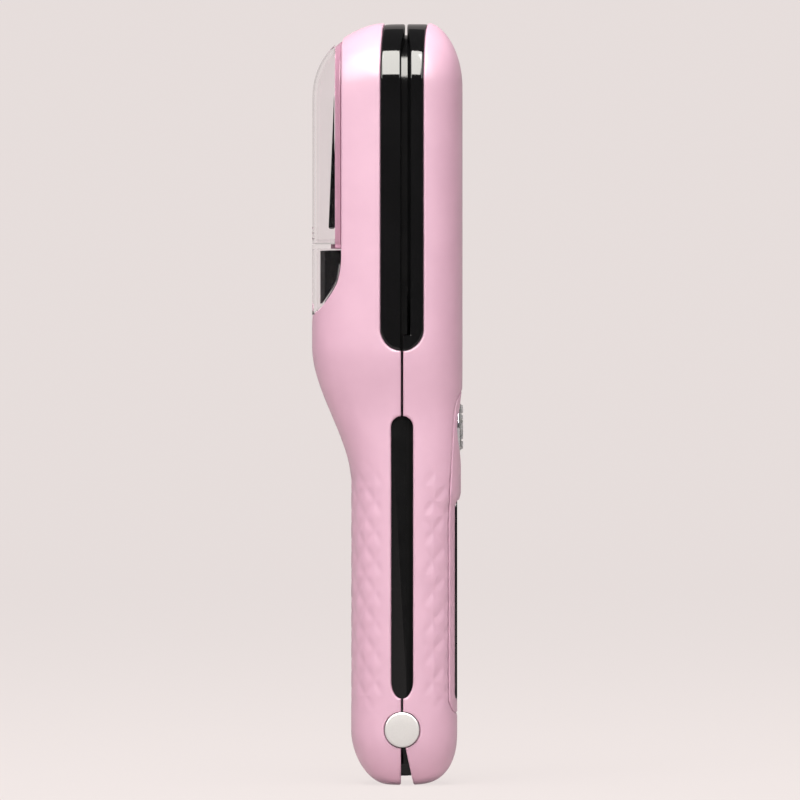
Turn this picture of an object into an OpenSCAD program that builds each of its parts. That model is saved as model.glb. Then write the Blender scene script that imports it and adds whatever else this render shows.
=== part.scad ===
// Split end trimmer: two arms hinged at the tail, standing upright.
// X runs from the cutter arm (minus) to the press arm (plus), Y across the body, Z up.
// Every module is drawn with the seam between the arms at X = 0 and then moved by at_seam().

/* [Body] */
// Height of the whole trimmer
body_height = 245; // [235:1:260]
// Width of the head, across Y
head_width = 40; // [38:0.5:44]
// Width of the handle, across Y
handle_width = 36; // [34.5:0.5:38]
// Squareness of the arms' cross-section, 2 for an ellipse
corner_power = 2.8; // [2.6:0.1:3.2]
// Wall thickness of the pink shells
wall = 2; // [1.6:0.1:2.2]
// Gap between the two shells along the seam
seam_gap = 0.7; // [0.5:0.1:0.9]
// Gap round pieces that are fixed in a pocket
fit = 0.1; // [0.05:0.01:0.15]
// Height over which the tail rounds off
tail_round = 17; // [15:0.5:19]

/* [Cutter arm] */
// Depth of the cutter arm in the handle, from the seam
grip_depth = 16.4; // [16.2:0.1:18]
// Depth of the cutter arm in the head, with its hair chamber
head_depth = 29; // [28:0.5:32]
// Height at which the handle starts to swell
swell_low = 96.5; // [94:0.5:100]
// Length of the swell
swell_length = 44.5; // [42:0.5:50]
// Depth of the shell where the hair chamber starts
rim_depth = 19.7; // [19:0.1:20.5]
// Thickness of the bezel between shell and chamber, along X
bezel_thickness = 1.9; // [1.4:0.1:2.4]

/* [Press arm] */
// Depth of the press arm beside the display
press_grip_depth = 17.8; // [17.4:0.1:18.6]
// Step from the display up to the button's swelling
display_step = 1.2; // [0.8:0.1:1.6]
// Depth of the press arm in the head
press_head_depth = 19.5; // [19.3:0.1:21]

/* [Hinge] */
// Height of the hinge pin
pivot_height = 18; // [17.6:0.1:19]
// Widest opening of the press arm, in degrees
open_angle = 11; // [8:0.5:11.5]
// Diameter of the hinge pin
pin_d = 3; // [2.4:0.1:3.4]
// Diameter of the hinge knuckles
knuckle_d = 10.4; // [9.4:0.2:10.6]
// Length of the middle knuckle, across Y
knuckle_length = 17.8; // [14:0.2:18.6]
// Diameter of the silver caps over the pin
cap_d = 11.1; // [9:0.1:12]
// Thickness of the silver caps
cap_thickness = 1.1; // [0.8:0.1:1.4]

/* [Black trims and slots] */
// How far each black trim reaches from the seam
trim_reach = 6.9; // [6.5:0.1:7.4]
// Lowest point of the trims' round end
trim_low = 139.4; // [138.6:0.2:141]
// How deep the trims are, from the outside inwards
trim_depth = 5.2; // [4.6:0.1:5.6]
// Height of the raised lip above the seam
lip_rise = 2.1; // [1.8:0.1:2.2]
// How far the lip stands back from the outside
lip_inset = 3.8; // [3.4:0.1:4.6]
// Gap between the lip and the press arm, for the hair
hair_gap = 0.5; // [0.4:0.05:0.7]
// Half width of the handle slot in each shell
slot_reach = 3.6; // [3:0.1:4]
// Lower end of the handle slot
slot_low = 27.9; // [26.5:0.1:32]
// Upper end of the handle slot
slot_high = 118.5; // [110:0.5:120]

/* [Cutter] */
// Diameter over the rotor's blades
rotor_d = 9.8; // [9:0.1:10]
// Distance of the rotor's axis behind the seam
rotor_setback = 4.3; // [4.2:0.05:4.6]
// Diameter of the rotor's shaft
rotor_shaft_d = 3; // [2.4:0.1:3.2]
// Radial clearance of shafts in their bearings
running_fit = 0.05; // [0.03:0.01:0.08]
// Module of the gear pair
gear_module = 0.5; // [0.5:0.01:0.52]
// Teeth on the rotor's gear
gear_teeth = 18; // [18:2:18]
// Teeth on the motor's pinion
pinion_teeth = 10; // [10:2:10]
// Width of the gears
gear_width = 3.4; // [2.6:0.1:3.6]
// Pitch of the comb's slits
comb_pitch = 3.2; // [2.8:0.1:4.5]
// Width of each comb slit
slit_width = 1.6; // [1.2:0.1:1.8]

/* [Motor and battery] */
// Diameter of the motor
motor_d = 15.4; // [14:0.1:15.6]
// Length of the motor's can
motor_length = 25; // [20:0.5:26]
// Diameter of the motor's shaft
motor_shaft_d = 2; // [1.5:0.1:2.1]
// Diameter of the battery cell
battery_d = 14; // [13:0.1:14]
// Length of the battery cell
battery_length = 65; // [50:1:65]

/* [Pressure plate] */
// Half width of the pressure plate
plate_half = 7; // [6:0.1:7.4]
// Travel of the pressure plate
plate_travel = 1.2; // [0.6:0.1:1.5]
// Free length of each plate spring
spring_length = 4.1; // [3.6:0.1:4.4]
// Outer diameter of each plate spring
spring_d = 4.4; // [3.8:0.1:5]

/* [Button and display] */
// Diameter of the power button
button_d = 17.6; // [16:0.1:18]
// Travel of the power button
button_travel = 0.8; // [0.4:0.1:0.9]
// Width of the dish round the button
dish_d = 22.4; // [21:0.1:23.5]
// Height of the button's centre
button_height = 114.9; // [113:0.1:116]
// Width of one crystal
crystal_d = 2.9; // [2.4:0.1:3]
// Half width of the display lens
lens_half = 9; // [8:0.1:9.6]
// Lower end of the display lens
lens_low = 27.6; // [26.5:0.1:34]
// Upper end of the display lens
lens_high = 91.4; // [84:0.1:91.5]

/* [Hidden] */
$fn = 48;

pink = [0.95, 0.72, 0.82];
gloss_black = [0.06, 0.06, 0.07];
soft_black = [0.12, 0.12, 0.13];
steel = [0.72, 0.73, 0.75];
brass = [0.8, 0.66, 0.36];
clear_plastic = [0.9, 0.92, 0.93, 0.45];
board_green = [0.1, 0.4, 0.22];

cutter_side = -1;
press_side = 1;
half_gap = seam_gap / 2;
arc_steps = 18;
far = 60;

// heights that follow from the driving ones
trim_turn = trim_low + trim_reach;
lip_low = trim_low + 4.8;
head_half = head_width / 2;
handle_half = handle_width / 2;
head_centre = body_height - head_half;
lip_half = head_half - lip_inset;
lip_high = head_centre + lip_half;
plate_half_width = head_half - trim_depth - fit;
comb_low = trim_low + 14.6;
comb_high = head_centre + 4;
chamber_low = trim_low + 34.6;
window_low = trim_low + 11.5;
window_top_wall = 2;
duct_low = chamber_low + 5;
duct_high = body_height - 24;
step_low = lens_high - 2.9;

// the arms' side view and section: shared falls towards the tail and the top
tail_flat = 5;
tail_half_flat = 9;
top_round_cutter = 25;
top_power_cutter = 2.25;
top_round_press = 21;
press_top_flat = 7;

function span(centre, half) = [centre - half, centre + half];
function smooth(t) = let (c = min(max(t, 0), 1)) c * c * (3 - 2 * c);

function tail_share(z, power, inset) =
    z >= tail_round ? 1
    : pow(max(0, 1 - pow(min(1, (tail_round - z) / (tail_round - inset)), power)), 1 / power);

function top_share(z, round_height, power, inset) =
    let (rise = z - body_height + round_height)
    rise <= 0 ? 1 : pow(max(0, 1 - pow(min(1, rise / (round_height - inset)), power)), 1 / power);

function from_flat(flat, full, share) = flat + (full - flat) * share;

function cutter_base(z) = grip_depth + (head_depth - grip_depth) * smooth((z - swell_low) / swell_length);

function press_base(z) =
    press_grip_depth + display_step * smooth((z - step_low) / 6)
    + (press_head_depth - press_grip_depth - display_step) * smooth((z - step_low - 11) / 36);

function cutter_depth(z, inset) =
    from_flat(tail_flat, cutter_base(z) - inset, tail_share(z, 1.6, inset))
    * top_share(z, top_round_cutter, top_power_cutter, inset);

function press_depth(z, inset) =
    z < head_centre - 10
    ? from_flat(tail_flat, press_base(z) - inset, tail_share(z, 2.1, inset))
    : from_flat(press_top_flat, press_base(z) - inset, top_share(z, top_round_press, 2, inset));

function arm_depth(side, z, inset) =
    max(1, side < 0 ? cutter_depth(z, inset) : press_depth(z, inset));

function arm_half(z, inset) =
    let (full = handle_half + (head_half - handle_half) * smooth((z - swell_low) / swell_length))
    max(0.6, from_flat(tail_half_flat, full - inset, tail_share(z, 2, inset))
        * top_share(z, head_half, 2, inset));

// one section of an arm as a list of points, from the front edge of the seam round to the back
function arm_ring(side, z, inset, near, steps) =
    let (depth = arm_depth(side, z, inset), half = arm_half(z, inset), p = 2 / corner_power)
    [for (i = [0:steps])
        let (a = -90 + 180 * i / steps, c = max(0, cos(a)), s = sin(a))
        [side * (i == 0 || i == steps ? near : max(near, depth * pow(c, p))),
            half * sign(s) * pow(abs(s), p), z]];

function arm_levels(side, inset) = concat(
    [for (a = [0, 20, 40, 60, 90]) tail_round - (tail_round - inset) * cos(a)],
    side > 0 ? [for (t = [0, 2, 4, 6]) step_low + t] : [],
    [for (i = [0:6]) swell_low + 4 + (swell_length - 4) * i / 6],
    [for (a = [0:15:75]) body_height - top_round_cutter + (top_round_cutter - inset) * sin(a)],
    [body_height - inset]
);

// solid arm, as a chain of hulls between neighbouring sections
module arm_solid(side, inset = 0, near = 0, steps = arc_steps) {
    levels = arm_levels(side, inset);
    for (i = [0:len(levels) - 2])
        hull() {
            points = concat(
                arm_ring(side, levels[i], inset, near, steps),
                arm_ring(side, levels[i + 1], inset, near, steps)
            );
            polyhedron(points, [[for (k = [0:len(points) - 1]) k]]);
        }
}

module at_seam() {
    translate([seam_x, 0, 0]) children();
}

// a side view outline, X and Z, carried across the body
module across(width) {
    rotate([90, 0, 0]) linear_extrude(width, center = true) children();
}

// a front view outline, Y and Z, carried from one X to another
module between(x0, x1) {
    translate([x0, 0, 0]) rotate([90, 0, 90]) linear_extrude(x1 - x0) children();
}

module block(x, y, z) {
    translate([x[0], y[0], z[0]]) cube([x[1] - x[0], y[1] - y[0], z[1] - z[0]]);
}

// a block and its mirror image across Y
module both_blocks(x, y, z) {
    block(x, y, z);
    block(x, [-y[1], -y[0]], z);
}

module rod_y(r, y, x = 0, z = 0) {
    translate([x, y[0], z]) rotate([-90, 0, 0]) cylinder(r = r, h = y[1] - y[0]);
}

module rod_x(r, x, y = 0, z = 0) {
    translate([x[0], y, z]) rotate([0, 90, 0]) cylinder(r = r, h = x[1] - x[0]);
}

module rod_z(r, z, x = 0, y = 0) {
    translate([x, y, z[0]]) cylinder(r = r, h = z[1] - z[0]);
}

module mirrored_y() {
    children();
    mirror([0, 1, 0]) children();
}

function stadium(half, low, high) = concat(
    [[-half, low], [half, low]],
    [for (a = [0:10:180]) [half * cos(a), high - half + half * sin(a)]]
);

function rounded_box(half, low, high, r) = [
    for (c = [[1, low + r, 270], [1, high - r, 0], [-1, high - r, 90], [-1, low + r, 180]])
        for (a = [0:15:90]) [c[0] * (half - r) + r * cos(c[2] + a), c[1] + r * sin(c[2] + a)]
];

// the trims' side view: straight up from a quarter round at the bottom
function trim_outline(side, reach, near, top) = concat(
    [[side * near, top], [side * reach, top]],
    [for (a = [0:10:90]) [side * max(near, reach * cos(a)), trim_turn - reach * sin(a)]]
);

function slot_outline(reach) = concat(
    [for (a = [0:15:180]) [reach * cos(a), slot_high - reach + reach * sin(a)]],
    [for (a = [180:15:360]) [reach * cos(a), slot_low + reach * 1.6 + reach * 1.6 * sin(a)]]
);

// a place between the shell's rim at 0 and the deepest point of the head at 1
function edge_x(share) = -rim_depth - (head_depth - rim_depth) * share;

// the cutter head's half width and its height at a given depth from the seam
function head_side(depth, inset) =
    (head_half - inset) * pow(max(0, 1 - pow(depth / (head_depth - inset), corner_power)), 1 / corner_power);

function head_top(depth, inset) =
    body_height - top_round_cutter + (top_round_cutter - inset)
    * pow(max(0, 1 - pow(depth / (head_depth - inset), top_power_cutter)), 1 / top_power_cutter);

// the shell's edge against the clear pieces, from the outside below to the top
shell_edge = [
    [-head_depth - 6, window_low], [edge_x(0.978), window_low], [edge_x(0.688), window_low + 2.5],
    [edge_x(0.495), window_low + 4.9], [edge_x(0.301), window_low + 7.4], [edge_x(0.14), window_low + 10.2],
    [edge_x(0.043), window_low + 13.6], [-rim_depth, window_low + 17.5], [-rim_depth, body_height - 8],
    [-rim_depth + 1.5, body_height - 3.8], [-rim_depth + 2.5, body_height + 5],
    [-head_depth - 6, body_height + 5]
];

/* Fasteners and their posts */
screw_r = 0.95;
screw_head_r = 1.9;
screw_head_h = 1.2;
screw_hole_r = screw_r + 0.05;
post_r = 2.4;

// a screw whose head's underside is at x, pointing the way that side says
module screw_x(x, side, y, z, length) {
    translate([x, y, z]) rotate([0, side * 90, 0]) {
        cylinder(r = screw_r, h = length);
        translate([0, 0, -screw_head_h]) cylinder(r = screw_head_r, h = screw_head_h);
    }
}

module hole_x(x, y, z) {
    rod_x(screw_hole_r, x, y, z);
}

module head_pocket(x, y, z) {
    rod_x(screw_head_r + 0.15, x, y, z);
}

/* Hinge */
knuckle_r = knuckle_d / 2;
knuckle_half = knuckle_length / 2;
pin_r = pin_d / 2;
side_play = 0.5;
outer_knuckle_in = knuckle_half + side_play;
outer_knuckle_out = handle_half - wall - 0.8;
pin_half = handle_half - wall + 0.6;
cap_seat = handle_half - 1;
v_angle = open_angle + 0.8;
v_offset = -0.1;
bush_r = pin_r + 0.8;
stem_r = pin_r + 1;

module pivot_cut(r, half) {
    rod_y(r, [-half, half], 0, pivot_height);
}

module shell_hinge_cuts() {
    mirrored_y() rod_y(cap_d / 2 + 0.35, [cap_seat, handle_half + 4], 0, pivot_height);
    pivot_cut(stem_r + 0.3, handle_half + 4);
}

/* Cutter arm: shell */
tray_half = handle_half - wall - 0.8;
tray_wall = 1.3;
tray_back = -4.5;
tray_front = 1.9;
tray_low = pivot_height + knuckle_r + 1.3;
tray_high = trim_low - 0.4;
tray_plate = 1.5;
low_post_y = tray_half - tray_wall - post_r - 0.2;
low_post_z = tray_low + 2.9;
high_post_y = tray_half - 4.6;
high_post_z = swell_low + 7.5;

// posts from the given places inwards, ending inside the shell's wall
module shell_posts(side, near, places) {
    intersection() {
        arm_solid(side, wall / 2, -1, arc_steps - 4);
        for (p = places)
            mirrored_y() rod_x(p[2], side > 0 ? [near, far] : [-far, -near], p[0], p[1], $fn = 24);
    }
}

module cutter_arm_shell() {
    at_seam() color(pink) difference() {
        union() {
            difference() {
                arm_solid(cutter_side, 0, half_gap);
                arm_solid(cutter_side, wall, -1, arc_steps - 4);
                across(far) polygon(concat(
                    [[1, body_height + 5]],
                    trim_outline(cutter_side, trim_reach + fit, 0, body_height + 5),
                    [[1, trim_low - fit]]
                ));
                across(far) polygon(slot_outline(slot_reach));
                across(far) polygon(shell_edge);
            }
            shell_posts(cutter_side, tray_plate - tray_front,
                [[low_post_y, low_post_z, post_r], [high_post_y, high_post_z, post_r]]);
        }
        shell_hinge_cuts();
        mirrored_y() for (p = [[low_post_y, low_post_z], [high_post_y, high_post_z]])
            hole_x([-11, 3], p[0], p[1]);
    }
}

/* Cutter arm: frame, with the knuckles, the battery's stops, the comb's window and the bearings */
plate_back = -2;
plate_front = -0.2;
rotor_x = -rotor_setback;
rotor_r = rotor_d / 2;
comb_half = 6;
comb_thickness = 1.2;
window_half = 5;
bearing_r = rotor_shaft_d / 2 + 1.5;
bearing_length = 2.5;
bearing_gap = 1.3;
lower_bearing_z = comb_low - bearing_gap - bearing_length;
upper_bearing_z = comb_high + bearing_gap + 0.5;
gear_low = lip_low + 1.8;
boss_back = rotor_x - bearing_r - 1.2;
shelf_top = gear_low - 3.6;
ear_z = [comb_low + 9, comb_high - 8];
housing_half = 8;
ear_y = housing_half + 2.4;
ear_edge = 2.2;
ear_half = 3;
ear_depth = 2.2;
stop_half = 7.6;
battery_low = low_post_z + post_r + 1.9;
battery_high = battery_low + battery_length;
battery_x = tray_front - tray_plate - battery_d / 2 - 0.3;
stop_thickness = 1.2;
contact_thickness = 0.4;
wire_pass_z = tray_low + 1.8;

module battery_stop(z) {
    block([tray_back - 5, tray_front - 1], [-stop_half, stop_half], z);
}

module cutter_tray() {
    difference() {
        block([tray_back, tray_front], [-tray_half, tray_half], [tray_low, tray_high]);
        block([tray_back - 1, tray_front - tray_plate],
            [-tray_half + tray_wall, tray_half - tray_wall], [tray_low - 1, tray_high + 1]);
    }
    battery_stop([battery_low - contact_thickness - stop_thickness, battery_low - contact_thickness]);
    battery_stop([battery_high + contact_thickness, battery_high + contact_thickness + stop_thickness]);
}

module cutter_tail() {
    mirrored_y() rod_y(knuckle_r, [outer_knuckle_in, outer_knuckle_out], 0, pivot_height);
    both_blocks([tray_back, tray_front], [outer_knuckle_in, outer_knuckle_out], [pivot_height, tray_low + 0.3]);
    both_blocks([tray_back, tray_front], [outer_knuckle_in, 12.8], [7, pivot_height]);
    tongue_high = pivot_height - knuckle_r - 0.9;
    block([tray_back, tray_front], [-12.8, 12.8], [7, tongue_high]);
    block([tray_back, tray_front], [-8.6, 8.6], [2.9, tongue_high]);
}

module cutter_head_plate() {
    between(plate_back, plate_front)
        polygon(stadium(plate_half_width, tray_high - 1, head_centre + plate_half_width));
    between(plate_front - 0.05, lip_rise) polygon(stadium(lip_half, lip_low, lip_high));
    block([plate_back, tray_front], [-plate_half_width, plate_half_width], [tray_high - 3, lip_low + 0.5]);
    both_blocks([tray_back - 2, plate_back + 0.5], [motor_d / 2 + 0.9, 12], [tray_high - 3, shelf_top]);
    for (z = [lower_bearing_z, upper_bearing_z])
        block([boss_back, plate_back + 0.5], [-bearing_r - 1.2, bearing_r + 1.2], [z, z + bearing_length]);
    for (z = ear_z)
        both_blocks([housing_front, plate_back + 0.2], [housing_half + fit, ear_y + ear_edge], span(z, ear_half));
}

module cutter_arm_frame() {
    at_seam() color(soft_black) difference() {
        union() {
            cutter_tray();
            cutter_tail();
            cutter_head_plate();
        }
        // room for the press arm's middle knuckle
        pivot_cut(knuckle_r + 0.4, outer_knuckle_in);
        pivot_cut(pin_r, handle_half);
        // comb pocket, rotor window, gear pocket and bearing seats
        block([lip_rise - comb_thickness, lip_rise + 1], [-comb_half - fit, comb_half + fit],
            [comb_low - fit, comb_high + fit]);
        block([plate_back - 3, lip_rise], [-window_half, window_half], [comb_low + 0.8, comb_high - 0.8]);
        rod_z(gear_outer(gear_teeth) + 0.4, [gear_low - 0.6, lower_bearing_z - 0.05], rotor_x);
        rod_z(bearing_r, [lower_bearing_z - 1, lower_bearing_z + bearing_length + 1], rotor_x);
        rod_z(bearing_r, [upper_bearing_z - 1, upper_bearing_z + bearing_length + 1], rotor_x);
        // screws and wires
        mirrored_y() for (p = [[low_post_y, low_post_z], [high_post_y, high_post_z]]) {
            hole_x([tray_front - 3, tray_front + 1], p[0], p[1]);
            head_pocket([tray_front - 0.9, tray_front + 1], p[0], p[1]);
        }
        mirrored_y() for (z = ear_z) hole_x([housing_front - 1, -0.5], ear_y, z);
        mirrored_y() rod_z(screw_hole_r, [shelf_top - 4, shelf_top + 1], rotor_x, mount_screw_y);
        rod_x(1.6, [0, 3], 0, wire_pass_z);
    }
}

/* Cutter arm: black trim, a band that follows the outside and runs over the top */
module trim_void(x) {
    between(x[0], x[1])
        polygon(stadium(head_half - trim_depth, trim_low - 5, head_centre + head_half - trim_depth));
}

module cutter_trim() {
    at_seam() color(gloss_black) difference() {
        intersection() {
            arm_solid(cutter_side, 0, 0);
            across(far) polygon(concat(
                trim_outline(cutter_side, trim_reach, half_gap - 0.05, body_height + 5),
                [[-half_gap + 0.05, body_height - 1.2]]
            ));
        }
        trim_void([-12, 2]);
        across(far) polygon([[-1.4, body_height + 1], [2, body_height + 1], [2, body_height - 2.2]]);
    }
}

/* Hair chamber, its bezel and the clear lower window */
bezel_inset = 0.6;
chamber_wall = 1.2;
chamber_near = rim_depth + bezel_thickness + fit;
ridge_r = 0.45;

module slab(x, z) {
    block(x, [-far / 2, far / 2], z);
}

module chamber_bezel() {
    at_seam() color(pink) difference() {
        intersection() {
            arm_solid(cutter_side, bezel_inset, 0);
            slab([-rim_depth - bezel_thickness, -rim_depth - fit / 2], [chamber_low - 0.4, body_height]);
        }
        intersection() {
            arm_solid(cutter_side, wall + 0.6, 0, 16);
            slab([-head_depth, 0], [chamber_low + 1.4, body_height]);
        }
    }
}

module hair_chamber() {
    tongue_high = head_top(chamber_near + 1.2, chamber_wall + fit) - 1.4;
    at_seam() color(clear_plastic) {
        difference() {
            intersection() {
                arm_solid(cutter_side, 0.1, 0);
                slab([-head_depth - 2, -chamber_near], [chamber_low, body_height]);
            }
            intersection() {
                arm_solid(cutter_side, chamber_wall + 0.1, 0, 16);
                slab([-head_depth, 0], [chamber_low + chamber_wall, body_height]);
            }
        }
        for (i = [0:2]) hull() mirrored_y()
            translate([-head_depth + 0.1, 5, chamber_low + 1.6 + i * 1.7]) sphere(r = ridge_r, $fn = 10);
        // spigots that hold the chamber in its bezel
        both_blocks([-chamber_near - 1.2, -rim_depth - 0.3], [5, 9],
            [chamber_low + 1.6, chamber_low + 2.8]);
        both_blocks([-chamber_near - 1.2, -chamber_near - 0.2], [5, 9], [chamber_low + 1, chamber_low + 2]);
        block([-chamber_near - 1.2, -rim_depth - 0.3], [-4, 4], [tongue_high - 1.2, tongue_high]);
        block([-chamber_near - 1.2, -chamber_near - 0.2], [-4, 4], [tongue_high - 1.2, tongue_high + 2.3]);
    }
}

module lower_window() {
    at_seam() color(clear_plastic) difference() {
        intersection() {
            arm_solid(cutter_side, 0, 0);
            translate([-fit, 0, fit]) across(far) polygon(shell_edge);
            slab([-head_depth - 1, 0], [window_low - 1, chamber_low - 0.4]);
        }
        intersection() {
            arm_solid(cutter_side, 1.4, 0, 16);
            slab([-head_depth, 0], [window_low - 2, chamber_low - 0.4 - window_top_wall]);
        }
    }
}

floor_low = chamber_low - 0.4 - window_top_wall;
floor_half = head_side(rim_depth + fit, wall) - 1.4;

module chamber_floor() {
    at_seam() color(soft_black)
        block([-rim_depth - fit, housing_back], [-floor_half, floor_half], [floor_low, floor_low + 1.6]);
}

module catch_block() {
    at_seam() color(gloss_black) intersection() {
        arm_solid(cutter_side, 2.4, 0, arc_steps - 4);
        across(2 * floor_half - 2.8) polygon([
            [-head_depth, floor_low], [-head_depth, window_low + 3.4], [edge_x(0.688), window_low + 3.9],
            [edge_x(0.495), window_low + 6.3], [edge_x(0.301), window_low + 8.8],
            [edge_x(0.161), window_low + 11.4], [edge_x(0.097), window_low + 14],
            [edge_x(0.065), window_low + 16.5], [2.7 - rim_depth, window_low + 16.5], [2.7 - rim_depth, floor_low]
        ]);
    }
}

/* Comb, blades and the housing behind the rotor */
module comb_plate() {
    count = floor((comb_high - comb_low - 3) / comb_pitch);
    first = (comb_low + comb_high - (count - 1) * comb_pitch) / 2;
    at_seam() color(steel) difference() {
        block([lip_rise - comb_thickness, lip_rise], [-comb_half, comb_half], [comb_low, comb_high]);
        for (i = [0:count - 1])
            block([lip_rise - comb_thickness - 1, lip_rise + 1], [-4.4, 4.4],
                span(first + i * comb_pitch, slit_width / 2));
    }
}

blade_thickness = 0.75;
housing_front = plate_back - blade_thickness - 0.05;
housing_back = -11.5;
housing_low = lower_bearing_z + bearing_length + 0.3;
housing_high = upper_bearing_z - 0.3;
duct_reach_low = 0.409;
duct_reach_high = 0.226;
duct_wall = 1.4;
duct_half = head_side(-edge_x(duct_reach_low), chamber_wall + fit) - 2.1;

module fixed_blades() {
    at_seam() color(steel)
        both_blocks([plate_back - blade_thickness, plate_back], [window_half, housing_half - 0.1],
            [comb_low, comb_high]);
}

module cutter_housing() {
    at_seam() color(gloss_black) difference() {
        union() {
            block([housing_back, housing_front], [-housing_half, housing_half], [housing_low, housing_high]);
            across(2 * duct_half) polygon([
                [housing_back + 1, duct_low], [edge_x(duct_reach_low), duct_low],
                [edge_x(duct_reach_high), duct_high], [housing_back + 1, duct_high]
            ]);
            for (z = ear_z)
                both_blocks([housing_front - ear_depth, housing_front], [housing_half - 1, ear_y + ear_edge],
                    span(z, ear_half));
        }
        rod_z(rotor_r + 0.6, [housing_low - 1, housing_high + 1], rotor_x);
        block([rotor_x + 2.2, 0], [-rotor_r - 0.6, rotor_r + 0.6], [housing_low - 1, housing_high + 1]);
        // discharge slot and the duct behind it
        block([housing_back - 1, rotor_x], [-4, 4], [duct_low + duct_wall, duct_high - duct_wall]);
        block([-head_depth, housing_back], [-duct_half + duct_wall, duct_half - duct_wall],
            [duct_low + duct_wall, duct_high - duct_wall]);
        mirrored_y() for (z = ear_z) hole_x([housing_front - 3, housing_front + 1], ear_y, z);
    }
}

module bearing(z) {
    at_seam() color(brass) difference() {
        rod_z(bearing_r, [z, z + bearing_length], rotor_x);
        rod_z(rotor_shaft_d / 2 + running_fit, [z - 1, z + bearing_length + 1], rotor_x);
    }
}

module upper_bearing() {
    bearing(upper_bearing_z);
}

module lower_bearing() {
    bearing(lower_bearing_z);
}

/* Rotor and gears */
pressure_angle = 25;
gear_backlash = 0.08;
addendum = gear_module;
dedendum = 1.25 * gear_module;

function gear_pitch(teeth) = teeth * gear_module / 2;
function gear_outer(teeth) = gear_pitch(teeth) + addendum;
function involute(base, r) = let (a = acos(min(1, base / r))) (tan(a) * 180 / PI - a);

// half the angle that a tooth takes at radius r
function tooth_half(teeth, r) =
    let (pitch = gear_pitch(teeth), base = pitch * cos(pressure_angle))
    90 / teeth - gear_backlash / (4 * pitch) * 180 / PI
    + involute(base, pitch) - involute(base, max(base, r));

function tooth_points(teeth) =
    let (root = gear_pitch(teeth) - dedendum, tip = gear_outer(teeth),
        radii = [for (i = [0:4]) root + (tip - root) * i / 4])
    concat(
        [for (r = radii) [r, -tooth_half(teeth, r)]],
        [for (i = [4:-1:0]) [radii[i], tooth_half(teeth, radii[i])]]
    );

module gear(teeth, turn) {
    outline = [for (t = [0:teeth - 1]) for (p = tooth_points(teeth))
        p[0] * [cos(p[1] + turn + t * 360 / teeth), sin(p[1] + turn + t * 360 / teeth)]];
    linear_extrude(gear_width) polygon(outline);
}

gear_distance = gear_pitch(gear_teeth) + gear_pitch(pinion_teeth) + 0.03;
motor_x = rotor_x - gear_distance;
drum_low = comb_low + 1.2;
drum_high = comb_high - 1.2;
blade_count = 4;
blade_twist = 200;

// one helical blade with its root in the drum
module rotor_blades() {
    translate([rotor_x, 0, drum_low])
        linear_extrude(drum_high - drum_low, twist = blade_twist, slices = 20)
            for (i = [0:blade_count - 1]) rotate(i * 360 / blade_count)
                polygon([[0, -1.3], [rotor_r - 0.05, -0.35], [rotor_r, 0.35], [0, 1.5]]);
}

module cutter_rotor() {
    at_seam() color(steel) {
        rod_z(rotor_shaft_d / 2, [gear_low - 0.8, upper_bearing_z + bearing_length + 0.6], rotor_x);
        rotor_blades();
    }
}

module cutter_gear() {
    at_seam() color("white") difference() {
        translate([rotor_x, 0, gear_low]) gear(gear_teeth, 0);
        rod_z(rotor_shaft_d / 2, [gear_low - 1, gear_low + gear_width + 1], rotor_x);
    }
}

/* Motor */
mount_thickness = 1.6;
mount_low = shelf_top;
mount_high = mount_low + mount_thickness;
mount_screw_y = 10.3;
motor_high = mount_low;
motor_low = motor_high - motor_length;
motor_boss_r = 2.6;
motor_shaft_r = motor_shaft_d / 2;

module motor_can() {
    at_seam() color(steel) difference() {
        union() {
            rod_z(motor_d / 2, [motor_low, motor_high], motor_x);
            rod_z(motor_boss_r, [motor_high - 1, mount_high], motor_x);
            rod_z(3.4, [motor_low - 1.2, motor_low + 1], motor_x);
        }
        rod_z(motor_shaft_r + running_fit, [motor_low + 2, mount_high + 1], motor_x);
    }
}

module motor_shaft() {
    at_seam() color(steel)
        rod_z(motor_shaft_r, [motor_low + 2.2, gear_low + gear_width + 0.5], motor_x);
}

module motor_pinion() {
    at_seam() color(brass) difference() {
        translate([motor_x, 0, gear_low]) gear(pinion_teeth, 180 / pinion_teeth);
        rod_z(motor_shaft_r, [gear_low - 1, gear_low + gear_width + 1], motor_x);
    }
}

module motor_mount() {
    at_seam() color(steel) difference() {
        block([motor_x - motor_d / 2, plate_back - 0.1], [-12, 12], [mount_low, mount_high]);
        rod_z(motor_boss_r, [mount_low - 1, mount_high + 1], motor_x);
        mirrored_y() rod_z(screw_hole_r, [mount_low - 1, mount_high + 1], rotor_x, mount_screw_y);
    }
}

module motor_mount_screws() {
    at_seam() color(steel) mirrored_y() {
        rod_z(screw_r, [mount_low - 3.6, mount_high], rotor_x, mount_screw_y);
        rod_z(screw_head_r, [mount_high, mount_high + screw_head_h], rotor_x, mount_screw_y);
    }
}

/* Battery and the wires in the cutter arm */
module battery_cell() {
    at_seam() color("royalblue") {
        rod_z(battery_d / 2, [battery_low, battery_high - 1], battery_x);
        rod_z(battery_d / 2 - 3.5, [battery_high - 1.2, battery_high], battery_x);
    }
}

module battery_contacts() {
    at_seam() color(steel) for (z = [battery_low - contact_thickness, battery_high])
        block(span(battery_x, 4), [-4, 4], [z, z + contact_thickness]);
}

lead_r = 0.7;
lead_sides = 8;

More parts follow.
